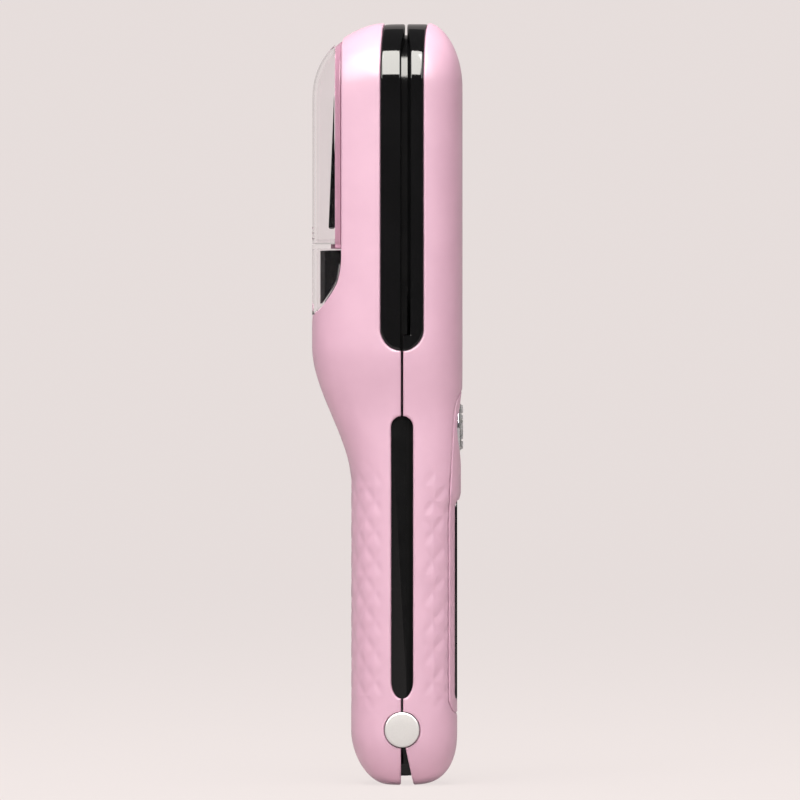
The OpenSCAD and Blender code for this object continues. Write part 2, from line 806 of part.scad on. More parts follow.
// a round wire along a list of points, one ring of the tube at each point
module wire(route) {
    n = len(route);
    dirs = [for (i = [0:n - 1])
        let (d = route[min(i + 1, n - 1)] - route[max(i - 1, 0)]) d / norm(d)];
    rings = [for (i = [0:n - 1]) for (k = [0:lead_sides - 1])
        let (a = 360 * k / lead_sides, u = cross(dirs[i], [0.02, 1, 0.03]), v = u / norm(u))
        route[i] + lead_r * (cos(a) * v + sin(a) * cross(dirs[i], v))];
    sides = [for (i = [0:n - 2]) for (k = [0:lead_sides - 1])
        let (a = i * lead_sides + k, b = i * lead_sides + (k + 1) % lead_sides)
        [a, a + lead_sides, b + lead_sides, b]];
    ends = [[for (k = [0:lead_sides - 1]) k], [for (k = [lead_sides - 1:-1:0]) (n - 1) * lead_sides + k]];
    polyhedron(rings, concat(sides, ends));
}

module motor_leads() {
    y = tray_half - tray_wall - 3.4;
    beside_stop = stop_half + lead_r + 0.15;
    at_seam() color("firebrick") mirrored_y() wire([
        [motor_x, 2.2, motor_low - 1.55], [motor_x, 3.4, motor_low - 4.2], [-8, 6, motor_low - 7],
        [-3.6, y - 2.2, high_post_z + 3.8], [-1.2, y - 3.8, high_post_z - 1], [-1.2, y - 1, high_post_z - 6],
        [-1.2, y - 0.6, (battery_low + battery_high) / 2], [-1.2, y - 0.6, low_post_z + 12],
        [-1.2, beside_stop, battery_low + 0.6], [-1.2, beside_stop, battery_low - 2.3],
        [-1.2, beside_stop - 1.65, low_post_z + 1], [-1.2, 3.6, low_post_z + 0.4], [-1.2, 1.6, low_post_z - 0.4]
    ]);
}

/* Screws of the cutter arm */
module cutter_arm_screws() {
    at_seam() color(steel) mirrored_y()
        for (p = [[low_post_y, low_post_z], [high_post_y, high_post_z]])
            screw_x(tray_front - 0.9, cutter_side, p[0], p[1], 8);
}

module housing_screws() {
    at_seam() color(steel) mirrored_y()
        for (z = ear_z) screw_x(housing_front - ear_depth, press_side, ear_y, z, 3.6);
}

/* Hinge pieces */
module hinge_pin() {
    at_seam() color(steel) rod_y(pin_r, [-pin_half, pin_half], 0, pivot_height);
}

module pivot_caps() {
    at_seam() color("silver") mirrored_y() translate([0, pin_half, pivot_height]) rotate([-90, 0, 0])
        rotate_extrude() polygon([
            [0, 0], [stem_r, 0], [stem_r, cap_seat + 0.25 - pin_half], [cap_d / 2, cap_seat + 0.25 - pin_half],
            [cap_d / 2, cap_seat + cap_thickness - pin_half],
            [cap_d / 2 - 0.25, cap_seat + cap_thickness + 0.25 - pin_half],
            [0, cap_seat + cap_thickness + 0.25 - pin_half]
        ]);
}

module wave_washers() {
    at_seam() color(steel) mirrored_y() difference() {
        rod_y(knuckle_r - 1, [knuckle_half + 0.08, outer_knuckle_in], 0, pivot_height);
        rod_y(pin_r + 0.1, [knuckle_half - 1, outer_knuckle_in + 1], 0, pivot_height);
    }
}

module hinge_bushes() {
    at_seam() color(brass) mirrored_y() difference() {
        rod_y(bush_r, [knuckle_half - 5, knuckle_half], 0, pivot_height);
        rod_y(pin_r + running_fit, [knuckle_half - 6, knuckle_half + 1], 0, pivot_height);
    }
}

/* Press arm: shell */
press_front = tray_front + hair_gap;
press_plate_back = press_front + 1.8;
press_head_seat = screw_head_h + fit;
press_head_front = lip_rise + hair_gap;
press_head_back = press_head_front + 1.8;
panel_back = 15.15;
panel_low = slot_low - 5.3;
panel_high = button_height + dish_d / 2 + 0.3;
high_press_post_y = 9;
high_press_post_z = panel_high + 5;
low_press_post_y = tray_half - 2.6;
low_press_post_z = tray_low + 9;

panel_outline = [
    [18, panel_high + 0.6], [17.4, panel_high], [16.8, panel_high - 4.6], [16.1, panel_high - 9.2],
    [15.5, panel_high - 22], [panel_back, panel_high - 42], [panel_back, panel_low + 4.3],
    [16.2, panel_low + 1.6], [17.9, panel_low], [30, panel_low], [30, panel_high + 0.6]
];

usb_x = 9.4;
usb_half = 4.5;
usb_thickness = 3.2;
usb_low = 1.7;
usb_high = 9;
usb_board_x = usb_x + usb_thickness / 2;
usb_board_thickness = 1;
usb_post_y = 4.6;
usb_post_z = 12.6;

module tail_v_cut() {
    across(far) polygon([
        [-5, pivot_height], [v_offset, pivot_height],
        [v_offset + tan(v_angle) * (pivot_height + 1), -1], [-5, -1]
    ]);
}

module press_arm_shell() {
    at_seam() color(pink) difference() {
        union() {
            difference() {
                arm_solid(press_side, 0, half_gap);
                arm_solid(press_side, wall, -1, arc_steps - 4);
                across(far) polygon(concat(
                    [[-1, body_height + 5]],
                    trim_outline(press_side, trim_reach + fit, 0, body_height + 5),
                    [[-1, trim_low - fit]]
                ));
                across(far) polygon(slot_outline(slot_reach));
                across(far) polygon(panel_outline);
                block([board_back, far], span(0, module_half + 0.3), [module_low - 0.3, module_high + 0.3]);
                rod_x(ring_r + 0.3, [board_back, far], 0, button_height);
            }
            shell_posts(press_side, press_plate_back, [[high_press_post_y, high_press_post_z, post_r]]);
            shell_posts(press_side, usb_board_x + usb_board_thickness, [[usb_post_y, usb_post_z, 1.9]]);
            mirrored_y() rod_x(post_r, [press_plate_back, 10], low_press_post_y, low_press_post_z, $fn = 24);
            both_blocks([press_plate_back, 10], [low_press_post_y, tray_half + 1], span(low_press_post_z, 1));
        }
        tail_v_cut();
        shell_hinge_cuts();
        block(span(usb_x, usb_thickness / 2 + 0.2), [-usb_half - 0.2, usb_half + 0.2], [-1, 6]);
        mirrored_y() for (p = [[high_press_post_y, high_press_post_z], [low_press_post_y, low_press_post_z]])
            hole_x([0, 9], p[0], p[1]);
        mirrored_y() hole_x([usb_board_x, 15], usb_post_y, usb_post_z);
    }
}

/* Press arm: frame */
board_front = 8.4;
board_thickness = 1.6;
board_back = board_front + board_thickness;
board_half = 12.3;
board_low = low_press_post_z + 4;
board_high = panel_high + 1;
standoff_y = 9.9;
standoff_z = [board_low + 3, board_high - 3];
plate_low = comb_low - 2.7;
plate_high = comb_high + 3.7;
seat_front = press_head_back + 1.1 + plate_travel + spring_length - 1.2;
seat_thickness = 1.4;
seat_post_z = [plate_low - 3.8, plate_high + 3.5];
seat_post_y = 5;

module press_arm_frame() {
    at_seam() color(soft_black) difference() {
        union() {
            rod_y(knuckle_r, [-knuckle_half, knuckle_half], 0, pivot_height);
            block([press_front - 1.2, press_plate_back], [-knuckle_half, knuckle_half],
                [pivot_height, tray_low - 0.5]);
            block([press_front, press_plate_back], [-knuckle_half, knuckle_half], [pivot_height, tray_high]);
            block([press_front, press_plate_back], [-tray_half, tray_half], [tray_low, tray_high]);
            both_blocks([press_front, press_plate_back + 2], [tray_half - tray_wall, tray_half],
                [low_press_post_z + 5, tray_high]);
            between(press_head_front, press_head_back)
                polygon(stadium(plate_half_width, tray_high - 2, head_centre + plate_half_width));
            mirrored_y() for (z = standoff_z)
                rod_x(2.1, [press_plate_back - 0.5, board_front], standoff_y, z);
            mirrored_y() for (z = seat_post_z)
                rod_x(2.1, [press_head_back - 0.5, seat_front], seat_post_y, z);
        }
        pivot_cut(pin_r + running_fit, knuckle_half - 5);
        mirrored_y() rod_y(bush_r, [knuckle_half - 5, knuckle_half + 1], 0, pivot_height);
        block([press_head_front - 1, press_head_back + 1], [-plate_half - 0.15, plate_half + 0.15],
            [plate_low - 0.15, plate_high + 0.15]);
        mirrored_y() for (p = [[high_press_post_y, high_press_post_z], [low_press_post_y, low_press_post_z]]) {
            hole_x([press_front - 1, press_plate_back + 1], p[0], p[1]);
            head_pocket([press_front - 1, press_front + press_head_seat], p[0], p[1]);
        }
        mirrored_y() for (z = standoff_z) hole_x([press_plate_back + 0.4, board_front + 1], standoff_y, z);
        mirrored_y() for (z = seat_post_z) hole_x([press_head_back + 0.4, seat_front + 1], seat_post_y, z);
        rod_x(1.6, [press_front - 1, press_plate_back + 1], 0, wire_pass_z);
    }
}

module press_trim() {
    at_seam() color(gloss_black) difference() {
        intersection() {
            arm_solid(press_side, 0, 0);
            across(far) polygon(concat(
                [[press_head_front, lip_low], [press_head_front, body_height - 2.2],
                    [press_head_front + 1, body_height + 5], [trim_reach, body_height + 5]],
                [for (a = [0:10:80]) [trim_reach * cos(a), trim_turn - trim_reach * sin(a)]],
                [[half_gap, trim_low], [half_gap, lip_low]]
            ));
        }
        trim_void([-2, 12]);
    }
}

/* Pressure plate with its pad, springs and back plate */
plate_front_x = press_head_front;
pad_thickness = 0.8;
plate_flange_back = press_head_back + 1.1;

module pressure_pad() {
    at_seam() color("dimgray")
        block([plate_front_x, plate_front_x + pad_thickness], [-plate_half + 1, plate_half - 1],
            [plate_low + 1, plate_high - 1]);
}

module pressure_plate() {
    at_seam() color(soft_black) difference() {
        union() {
            block([plate_front_x, press_head_back + 0.2], [-plate_half, plate_half], [plate_low, plate_high]);
            block([press_head_back + 0.1, plate_flange_back], [-plate_half - 1.4, plate_half + 1.4],
                [plate_low - 1, plate_high + 1]);
        }
        block([plate_front_x - 1, plate_front_x + pad_thickness], [-plate_half + 1, plate_half - 1],
            [plate_low + 1, plate_high - 1]);
    }
}

spring_z = [for (i = [0:2]) plate_low + (plate_high - plate_low) * (0.18 + 0.32 * i)];
wire_r = 0.3;
spring_turns = 3.5;
spring_sides = 6;
spring_steps = 12;

// a coil along X, as one swept tube
module coil(x0, x1, z) {
    n = floor(spring_turns * spring_steps);
    r = spring_d / 2 - wire_r;
    length = x1 - x0 - 2 * wire_r;
    rings = [for (i = [0:n]) for (k = [0:spring_sides - 1])
        let (a = 360 * i / spring_steps, b = 360 * k / spring_sides, q = r + wire_r * cos(b))
        [x0 + wire_r + length * i / n + wire_r * sin(b) * 0.98, q * cos(a), z + q * sin(a)]];
    sides = [for (i = [0:n - 1]) for (k = [0:spring_sides - 1])
        let (a = i * spring_sides + k, b = i * spring_sides + (k + 1) % spring_sides)
        each [[a, b + spring_sides, a + spring_sides], [a, b, b + spring_sides]]];
    ends = [[for (k = [spring_sides - 1:-1:0]) k],
        [for (k = [0:spring_sides - 1]) n * spring_sides + k]];
    polyhedron(rings, concat(sides, ends));
}

module plate_springs() {
    at_seam() color(steel) for (z = spring_z) coil(plate_flange_back + 0.02, seat_front - 0.02, z);
}

module spring_plate() {
    at_seam() color(steel) difference() {
        block([seat_front, seat_front + seat_thickness], span(0, seat_post_y + 2.6),
            [seat_post_z[0] - 2.6, seat_post_z[1] + 2.6]);
        mirrored_y() for (z = seat_post_z)
            hole_x([seat_front - 1, seat_front + seat_thickness + 1], seat_post_y, z);
    }
}

module spring_plate_screws() {
    at_seam() color(steel) mirrored_y() for (z = seat_post_z)
        screw_x(seat_front + seat_thickness, cutter_side, seat_post_y, z, 5);
}

/* Control panel, button and display */
dish_r = dish_d * dish_d / (8 * 1.6);
dish_floor = press_grip_depth + display_step - 1.6;
button_top = dish_floor + 0.4;
ring_r = button_d / 2 + 1.4;
lens_front = press_grip_depth - 0.05;
lens_back = lens_front - 1.5;
module_half = 7.8;
module_low = lens_low + 4.4;
module_high = lens_high - 3.4;
gasket_thickness = 0.6;

module control_panel() {
    at_seam() color(pink) difference() {
        intersection() {
            arm_solid(press_side, 0, 0);
            across(far) offset(delta = -fit) polygon(panel_outline);
        }
        translate([dish_floor + dish_r, 0, button_height]) sphere(r = dish_r, $fn = 90);
        rod_x(button_d / 2 + 0.25, [10, 25], 0, button_height);
        rod_x(ring_r + fit / 2, [dish_floor - 0.6, 25], 0, button_height);
        between(lens_back, 25) polygon(rounded_box(lens_half + fit, lens_low - fit, lens_high + fit, 2.4));
        block([10, 25], [-module_half - 0.2, module_half + 0.2], [module_low - 0.2, module_high + 0.2]);
    }
}

module display_lens() {
    at_seam() color(gloss_black)
        between(lens_back, lens_front) polygon(rounded_box(lens_half, lens_low, lens_high, 2.3));
}

module display_module() {
    at_seam() color("dimgray")
        block([board_back, lens_back - gasket_thickness], span(0, module_half), [module_low, module_high]);
}

module display_gasket() {
    at_seam() color(soft_black) difference() {
        block([lens_back - gasket_thickness, lens_back], span(0, module_half), [module_low, module_high]);
        block([lens_back - 2, lens_back + 1], [-module_half + 1.2, module_half - 1.2],
            [module_low + 1.2, module_high - 1.2]);
    }
}

module button_ring() {
    at_seam() color("silver") translate([0, 0, button_height]) rotate([0, 90, 0])
        rotate_extrude() polygon([
            [button_d / 2 + 0.25, dish_floor - 0.6], [ring_r, dish_floor - 0.6],
            [ring_r, dish_floor + 0.9], [ring_r - 0.3, dish_floor + 1.15],
            [button_d / 2 + 0.25, dish_floor + 0.95]
        ]);
}

switch_top = board_back + button_travel + 0.4;
plunger_r = 1.6;

module tact_switch() {
    at_seam() color("dimgray") difference() {
        block([board_back, switch_top], [-3, 3], span(button_height, 3));
        rod_x(plunger_r + 0.1, [board_back, switch_top + 1], 0, button_height);
    }
}

module power_button() {
    flange_front = panel_back + fit + 0.2;
    at_seam() color("silver") {
        rod_x(button_d / 2, [flange_front - 0.5, button_top], 0, button_height);
        rod_x(button_d / 2 + 1, [flange_front - 1, flange_front], 0, button_height);
        rod_x(plunger_r, [switch_top - 0.2, flange_front], 0, button_height);
    }
}

girdle_height = 0.7;
crystal_height = 1.85;

function crystal_places() = concat([[0, 0]],
    [for (k = [0:5]) (crystal_d + 0.2) * [cos(60 * k + 30), sin(60 * k + 30)]],
    [for (k = [0:11]) 2 * (crystal_d + 0.2) * [cos(30 * k), sin(30 * k)]]);

module button_crystals() {
    at_seam() color("white") for (p = crystal_places())
        translate([button_top, p[0], button_height + p[1]]) rotate([0, 90, 0]) {
            cylinder(r = crystal_d / 2, h = girdle_height, $fn = 8);
            translate([0, 0, girdle_height])
                cylinder(r1 = crystal_d / 2, r2 = crystal_d / 3.6, h = crystal_height - girdle_height, $fn = 8);
        }
}

/* Boards and sockets of the press arm */
module main_board() {
    at_seam() color(board_green) difference() {
        block([board_front, board_back], [-board_half, board_half], [board_low, board_high]);
        mirrored_y() for (z = standoff_z) hole_x([board_front - 1, board_back + 1], standoff_y, z);
    }
}

module board_screws() {
    at_seam() color(steel) mirrored_y() for (z = standoff_z)
        screw_x(board_back, cutter_side, standoff_y, z, 5);
}

module usb_port() {
    at_seam() color(steel) {
        difference() {
            block(span(usb_x, usb_thickness / 2), [-usb_half, usb_half], [usb_low, usb_high]);
            block(span(usb_x, usb_thickness / 2 - 0.35),
                [-usb_half + 0.35, usb_half - 0.35], [usb_low - 1, usb_high - 1]);
        }
        block(span(usb_x, 0.35), [-3.3, 3.3], [usb_low + 0.8, usb_high - 0.5]);
    }
}

module usb_board() {
    at_seam() color(board_green) difference() {
        block([usb_board_x, usb_board_x + usb_board_thickness], [-6.2, 6.2], [6.8, 15.5]);
        mirrored_y() hole_x([usb_board_x - 1, usb_board_x + 3], usb_post_y, usb_post_z);
    }
}

module usb_screws() {
    at_seam() color(steel) mirrored_y() screw_x(usb_board_x, press_side, usb_post_y, usb_post_z, 3.4);
}

module press_arm_screws() {
    at_seam() color(steel) mirrored_y()
        for (p = [[high_press_post_y, high_press_post_z], [low_press_post_y, low_press_post_z]])
            screw_x(press_front + press_head_seat, press_side, p[0], p[1], 4.9);
}

module board_leads() {
    at_seam() color("firebrick") mirrored_y() wire([
        [press_plate_back + 1.2, 1.2, wire_pass_z + 0.6], [press_plate_back + 1.4, 2.4, wire_pass_z + 2.5],
        [press_plate_back + 1.6, 4.5, low_press_post_z], [board_front - 0.75, 5, board_low + 1],
        [board_front - 0.72, 5, board_low + 8]
    ]);
}

// the widest points of both arms, so that the box's centre stands over the origin
left_reach = head_depth - 0.1 + ridge_r;
right_reach = button_top + crystal_height;
seam_x = (left_reach - right_reach) / 2;

cutter_arm_shell();
cutter_arm_frame();
cutter_trim();
chamber_bezel();
chamber_floor();
lower_window();
catch_block();
comb_plate();
fixed_blades();
cutter_housing();
upper_bearing();
lower_bearing();
motor_can();
motor_mount();
battery_cell();
battery_contacts();
motor_leads();
cutter_arm_screws();
housing_screws();
motor_mount_screws();
hinge_pin();
pivot_caps();
wave_washers();
cutter_rotor();
cutter_gear();
motor_shaft();
motor_pinion();
hair_chamber();
press_arm_shell();
press_arm_frame();
press_trim();
hinge_bushes();
control_panel();
display_lens();
display_module();
display_gasket();
main_board();
board_screws();
tact_switch();
button_ring();
usb_port();
usb_board();
usb_screws();
spring_plate();
spring_plate_screws();
plate_springs();
press_arm_screws();
board_leads();
pressure_plate();
pressure_pad();
power_button();
button_crystals();
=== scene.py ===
import bpy
import bmesh
import math
from mathutils import Matrix, Vector
from mathutils.bvhtree import BVHTree


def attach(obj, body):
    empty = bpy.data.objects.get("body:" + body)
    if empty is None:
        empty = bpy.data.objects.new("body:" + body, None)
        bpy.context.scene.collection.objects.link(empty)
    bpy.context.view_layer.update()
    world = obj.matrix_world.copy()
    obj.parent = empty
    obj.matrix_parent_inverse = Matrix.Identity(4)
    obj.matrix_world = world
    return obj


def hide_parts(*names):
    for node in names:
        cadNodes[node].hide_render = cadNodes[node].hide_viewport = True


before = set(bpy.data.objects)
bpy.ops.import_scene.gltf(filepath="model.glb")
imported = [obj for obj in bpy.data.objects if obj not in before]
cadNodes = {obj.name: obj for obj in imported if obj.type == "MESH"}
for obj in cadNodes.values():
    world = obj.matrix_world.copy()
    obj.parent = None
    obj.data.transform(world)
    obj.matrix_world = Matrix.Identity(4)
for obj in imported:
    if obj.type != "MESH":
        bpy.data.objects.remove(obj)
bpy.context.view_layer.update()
print("frame loaded,", len(cadNodes), "nodes")

# Sizes are in millimetres, with the seam between the arms at X = 0. finishPiece moves a piece to its place.
mm = 0.001
seamX = 4.85
cutterSide = -1
pressSide = 1

form = {
    "height": 245.0, "tailRound": 17.0, "headCentre": 225.0, "topRound": 20.0,
    "tailHalf": 9.0, "handleHalf": 18.0, "headHalf": 19.99,
    "waistLow": 90.0, "waistLowLength": 26.0, "waistHigh": 117.0, "waistHighLength": 24.0, "waistSink": 0.125,
    "tailDepth": 5.0, "gripDepth": 16.4, "headDepth": 29.0, "swellLow": 96.5, "swellLength": 44.5,
    "pressGrip": 17.8, "pressStep": 1.2, "stepLow": 88.5, "stepLength": 6.0,
    "pressHead": 19.5, "restDelay": 11.0, "restLength": 36.0, "pressTop": 7.0,
    "cutterTopRise": 25.0, "pressTopRise": 21.0, "seamHalf": 0.35, "wall": 2.0, "roll": 0.6,
}
power = {  # exponents of the rounded outlines, and of the section at the grip and at the head
    "cutterTail": 1.8, "pressTail": 2.35, "cutterTop": 2.25, "round": 2.0,
    cutterSide: (2.55, 2.8), pressSide: (3.0, 2.75),
}
leastReach = 0.05  # keeps the last rows from shrinking to nothing


def smooth(t):
    t = min(max(t, 0.0), 1.0)
    return t * t * (3 - 2 * t)


def mixed(a, b, share):
    return a + (b - a) * share


def tailShare(z, bend, inset):
    low = form["tailRound"]
    return 1.0 if z >= low else max(0.0, 1 - min(1.0, (low - z) / (low - inset)) ** bend) ** (1 / bend)


def topShare(z, rise, bend, inset):
    up = z - form["height"] + rise
    return 1.0 if up <= 0 else max(0.0, 1 - min(1.0, up / (rise - inset)) ** bend) ** (1 / bend)


def swell(z):
    return smooth((z - form["swellLow"]) / form["swellLength"])


def armDepth(side, z, inset=0.0):  # how far an arm reaches from the seam at a height
    f = form
    if side == cutterSide:
        base = mixed(f["gripDepth"], f["headDepth"], swell(z)) - inset
        base = mixed(f["tailDepth"], base, tailShare(z, power["cutterTail"], inset))
        return max(leastReach, base * topShare(z, f["cutterTopRise"], power["cutterTop"], inset))
    rest = f["pressHead"] - f["pressGrip"] - f["pressStep"]
    base = f["pressGrip"] + f["pressStep"] * smooth((z - f["stepLow"]) / f["stepLength"]) - inset
    base += rest * smooth((z - f["stepLow"] - f["restDelay"]) / f["restLength"])
    if z < f["height"] - f["pressTopRise"]:
        return mixed(f["tailDepth"], base, tailShare(z, power["pressTail"], inset))
    return mixed(f["pressTop"], base, topShare(z, f["pressTopRise"], power["round"], inset))


def cornerPower(side, z):  # how square the section is
    return mixed(*power[side], swell(z))


def armHalf(z, inset=0.0):  # half of the width across Y at a height
    f = form
    waist = (1 + f["waistSink"]) * smooth((z - f["waistHigh"]) / f["waistHighLength"])
    waist -= f["waistSink"] * smooth((z - f["waistLow"]) / f["waistLowLength"])
    full = mixed(f["handleHalf"], f["headHalf"], waist) - inset
    full = mixed(f["tailHalf"], full, tailShare(z, power["round"], inset))
    return max(leastReach, full * topShare(z, f["headHalf"], power["round"], inset))


def sectionY(side, z, x, inset=0.0):
    reach = min(1.0, x / armDepth(side, z, inset))
    bend = cornerPower(side, z)
    return armHalf(z, inset) * (1 - reach ** bend) ** (1 / bend)


def fanRadius(side, angle, x, inset=0.0):  # distance of the surface from the head's centre line, over the top
    low, high = 0.0, form["headHalf"] - inset
    bend = cornerPower(side, form["headCentre"])
    for _ in range(36):  # the interval is halved until it is tiny
        r = (low + high) / 2
        z, y = form["headCentre"] + r * math.sin(angle), r * math.cos(angle)
        inside = (x / armDepth(side, z, inset)) ** bend + (y / armHalf(z, inset)) ** bend < 1
        low, high = (r, high) if inside else (low, r)
    return (low + high) / 2


liftTurn = 0.7  # radians, where the lift over the top begins, and half of where it is full


def armPoint(side, row, share, inset, relief):
    level = row.get("z", form["headCentre"])
    depth = armDepth(side, level, inset)
    bend = cornerPower(side, level) / 2
    frontTurn = math.acos(min(1.0, (row["front"] / depth) ** bend))
    backTurn = 0.0 if row.get("back") is None else math.acos(min(1.0, (row["back"] / depth) ** bend))
    x = depth * math.cos(mixed(frontTurn, backTurn, share)) ** (1 / bend)
    if "angle" in row:
        r = fanRadius(side, row["angle"], x, inset)
        if "lift" in row:
            r = min(form["topRound"], r + row["lift"](x) * smooth((row["angle"] - liftTurn) / liftTurn))
        y, z = r * math.cos(row["angle"]), form["headCentre"] + r * math.sin(row["angle"])
        return Vector((side * x, -y, z)) if relief is None else relief(side, x, y, z)
    y = sectionY(side, level, x, inset)
    if "shrink" in row:  # a flat end
        x, y = mixed(row["front"], x, row["shrink"]), y * row["shrink"]
    return Vector((side * x, -y, level)) if relief is None else relief(side, x, y, level)


rollSteps = (0.0, 0.076, 0.293, 0.617, 1.0)  # a quarter round in four steps
weld = 0.004  # points closer than this become one
sliver = 0.0005
leastStep = 0.02  # between two rows of points


def rowShares(side, row, columns, inset, roll):  # even shares, with finer ones beside the free edges
    steps = len(rollSteps) - 1 if roll else 0
    hasBack = steps and row.get("back") is not None
    start, end = armPoint(side, row, 0.0, inset, None), armPoint(side, row, 1.0, inset, None)
    if not roll or (end - start).length < 5 * roll:  # too short for rolled edges
        return [i / (columns + 2 * steps) for i in range(columns + 2 * steps + 1)]

    def edgeShare(corner, sign, base):  # the share whose point lies one roll from the edge
        share = 0.01
        for _ in range(3):
            share *= roll / max(1e-4, (armPoint(side, row, base + sign * share, inset, None) - corner).length)
        return share

    front = edgeShare(start, 1, 0.0)
    back = edgeShare(end, -1, 1.0) if hasBack else 0.0
    count = columns if hasBack else columns + steps
    shares = [front * k for k in rollSteps] + [mixed(front, 1 - back, i / count) for i in range(1, count)]
    return shares + ([1 - back * k for k in reversed(rollSteps)] if hasBack else [1.0])


def armSheet(side, rows, columns, inset=0.0, relief=None, roll=None):
    across = columns + (2 * (len(rollSteps) - 1) if roll else 0)
    shares = [rowShares(side, row, columns, inset, roll) for row in rows]
    bm = bmesh.new()
    bmesh.ops.create_grid(bm, x_segments=across, y_segments=len(rows) - 1, size=1)
    for v in bm.verts:
        place = round((v.co.y + 1) / 2 * (len(rows) - 1))
        share = shares[place][round((v.co.x + 1) / 2 * across)]
        v.co = armPoint(side, rows[place], share, inset, relief)
    everything = bm.verts[:] + bm.edges[:] + bm.faces[:]
    bmesh.ops.mirror(bm, geom=everything, matrix=Matrix.Identity(4), merge_dist=weld, axis="Y")
    bmesh.ops.remove_doubles(bm, verts=bm.verts[:], dist=weld)
    bmesh.ops.dissolve_degenerate(bm, dist=sliver, edges=bm.edges[:])
    turnOutwards(bm, side)
    return bm


def turnOutwards(bm, side):
    bmesh.ops.recalc_face_normals(bm, faces=bm.faces[:])
    bm.normal_update()
    lean = sum(f.normal.x * side * f.calc_area() for f in bm.faces)
    if lean < 0:
        bmesh.ops.reverse_faces(bm, faces=bm.faces[:])


def arcRows(low, high, centre, radius, steps):  # heights along an arc, closer where it is steep
    start, end = (math.asin(min(1.0, max(-1.0, (z - centre) / radius))) for z in (low, high))
    return [centre + radius * math.sin(mixed(start, end, i / steps)) for i in range(steps + 1)]


def evenRows(low, high, step):
    count = max(1, round((high - low) / step))
    return [mixed(low, high, i / count) for i in range(count + 1)]


def mergedHeights(*groups):
    heights = sorted(z for group in groups for z in group)
    kept = [heights[0]]
    for z in heights[1:]:
        if z - kept[-1] > leastStep:
            kept.append(z)
    return kept


print("materials")


def newGroup(name, inputs, outputs):
    group = bpy.data.node_groups.new(name, "ShaderNodeTree")
    for label, kind, value in inputs:
        socket = group.interface.new_socket(name=label, in_out="INPUT", socket_type=kind)
        socket.default_value = value
    for label, kind in outputs:
        group.interface.new_socket(name=label, in_out="OUTPUT", socket_type=kind)
    return group, group.nodes.new("NodeGroupInput"), group.nodes.new("NodeGroupOutput")


def wire(tree, *pairs):
    for source, target in pairs:
        tree.links.new(source, target)


def addNode(tree, kind, **settings):
    node = tree.nodes.new(kind)
    for key, value in settings.items():
        if key in node.inputs.keys():
            node.inputs[key].default_value = value
        else:
            setattr(node, key, value)
    return node


def makeSkinGroup():  # slow waves, fine grain and a tone, for anything moulded or painted
    group, inp, out = newGroup(
        "mouldedSkin",
        [("Vector", "NodeSocketVector", (0, 0, 0)), ("Grain Scale", "NodeSocketFloat", 2500.0),
         ("Wave Scale", "NodeSocketFloat", 120.0), ("Wave Share", "NodeSocketFloat", 0.5),
         ("Roughness", "NodeSocketFloat", 0.35), ("Spread", "NodeSocketFloat", 0.05)],
        [("Height", "NodeSocketFloat"), ("Roughness", "NodeSocketFloat"), ("Tone", "NodeSocketFloat")])
    grain = addNode(group, "ShaderNodeTexNoise", Detail=3.0, Roughness=0.6)
    wave = addNode(group, "ShaderNodeTexNoise", Detail=2.0, Roughness=0.5)
    blend = addNode(group, "ShaderNodeMix", data_type="FLOAT")
    spread = addNode(group, "ShaderNodeMath", operation="MULTIPLY_ADD")
    centred = addNode(group, "ShaderNodeMath", operation="SUBTRACT")
    centred.inputs[1].default_value = 0.5
    wire(
        group, (inp.outputs["Vector"], grain.inputs["Vector"]),
        (inp.outputs["Vector"], wave.inputs["Vector"]), (inp.outputs["Grain Scale"], grain.inputs["Scale"]),
        (inp.outputs["Wave Scale"], wave.inputs["Scale"]),
        (inp.outputs["Wave Share"], blend.inputs["Factor"]), (grain.outputs["Fac"], blend.inputs["A"]),
        (wave.outputs["Fac"], blend.inputs["B"]), (blend.outputs["Result"], out.inputs["Height"]),
        (wave.outputs["Fac"], centred.inputs[0]), (centred.outputs[0], spread.inputs[0]),
        (inp.outputs["Spread"], spread.inputs[1]), (inp.outputs["Roughness"], spread.inputs[2]),
        (spread.outputs[0], out.inputs["Roughness"]), (wave.outputs["Fac"], out.inputs["Tone"]))
    return group


def makeBrushGroup():  # fine lines along one axis, for ground, spun and drawn metal
    group, inp, out = newGroup(
        "brushedMetal",
        [("Vector", "NodeSocketVector", (0, 0, 0)), ("Stretch", "NodeSocketVector", (4000.0, 4000.0, 60.0)),
         ("Roughness", "NodeSocketFloat", 0.3), ("Spread", "NodeSocketFloat", 0.2)],
        [("Height", "NodeSocketFloat"), ("Roughness", "NodeSocketFloat"), ("Tone", "NodeSocketFloat")])
    scale = addNode(group, "ShaderNodeVectorMath", operation="MULTIPLY")
    lines = addNode(group, "ShaderNodeTexNoise", Scale=1.0, Detail=4.0, Roughness=0.65)
    centred = addNode(group, "ShaderNodeMath", operation="SUBTRACT")
    centred.inputs[1].default_value = 0.5
    spread = addNode(group, "ShaderNodeMath", operation="MULTIPLY_ADD")
    wire(
        group, (inp.outputs["Vector"], scale.inputs[0]), (inp.outputs["Stretch"], scale.inputs[1]),
        (scale.outputs[0], lines.inputs["Vector"]), (lines.outputs["Fac"], out.inputs["Height"]),
        (lines.outputs["Fac"], centred.inputs[0]), (centred.outputs[0], spread.inputs[0]),
        (inp.outputs["Spread"], spread.inputs[1]), (inp.outputs["Roughness"], spread.inputs[2]),
        (spread.outputs[0], out.inputs["Roughness"]), (lines.outputs["Fac"], out.inputs["Tone"]))
    return group


skinGroup = makeSkinGroup()
brushGroup = makeBrushGroup()


def linearColour(srgb):
    return tuple((c / 255 / 12.92 if c <= 10 else ((c / 255 + 0.055) / 1.055) ** 2.4) for c in srgb) + (1.0,)


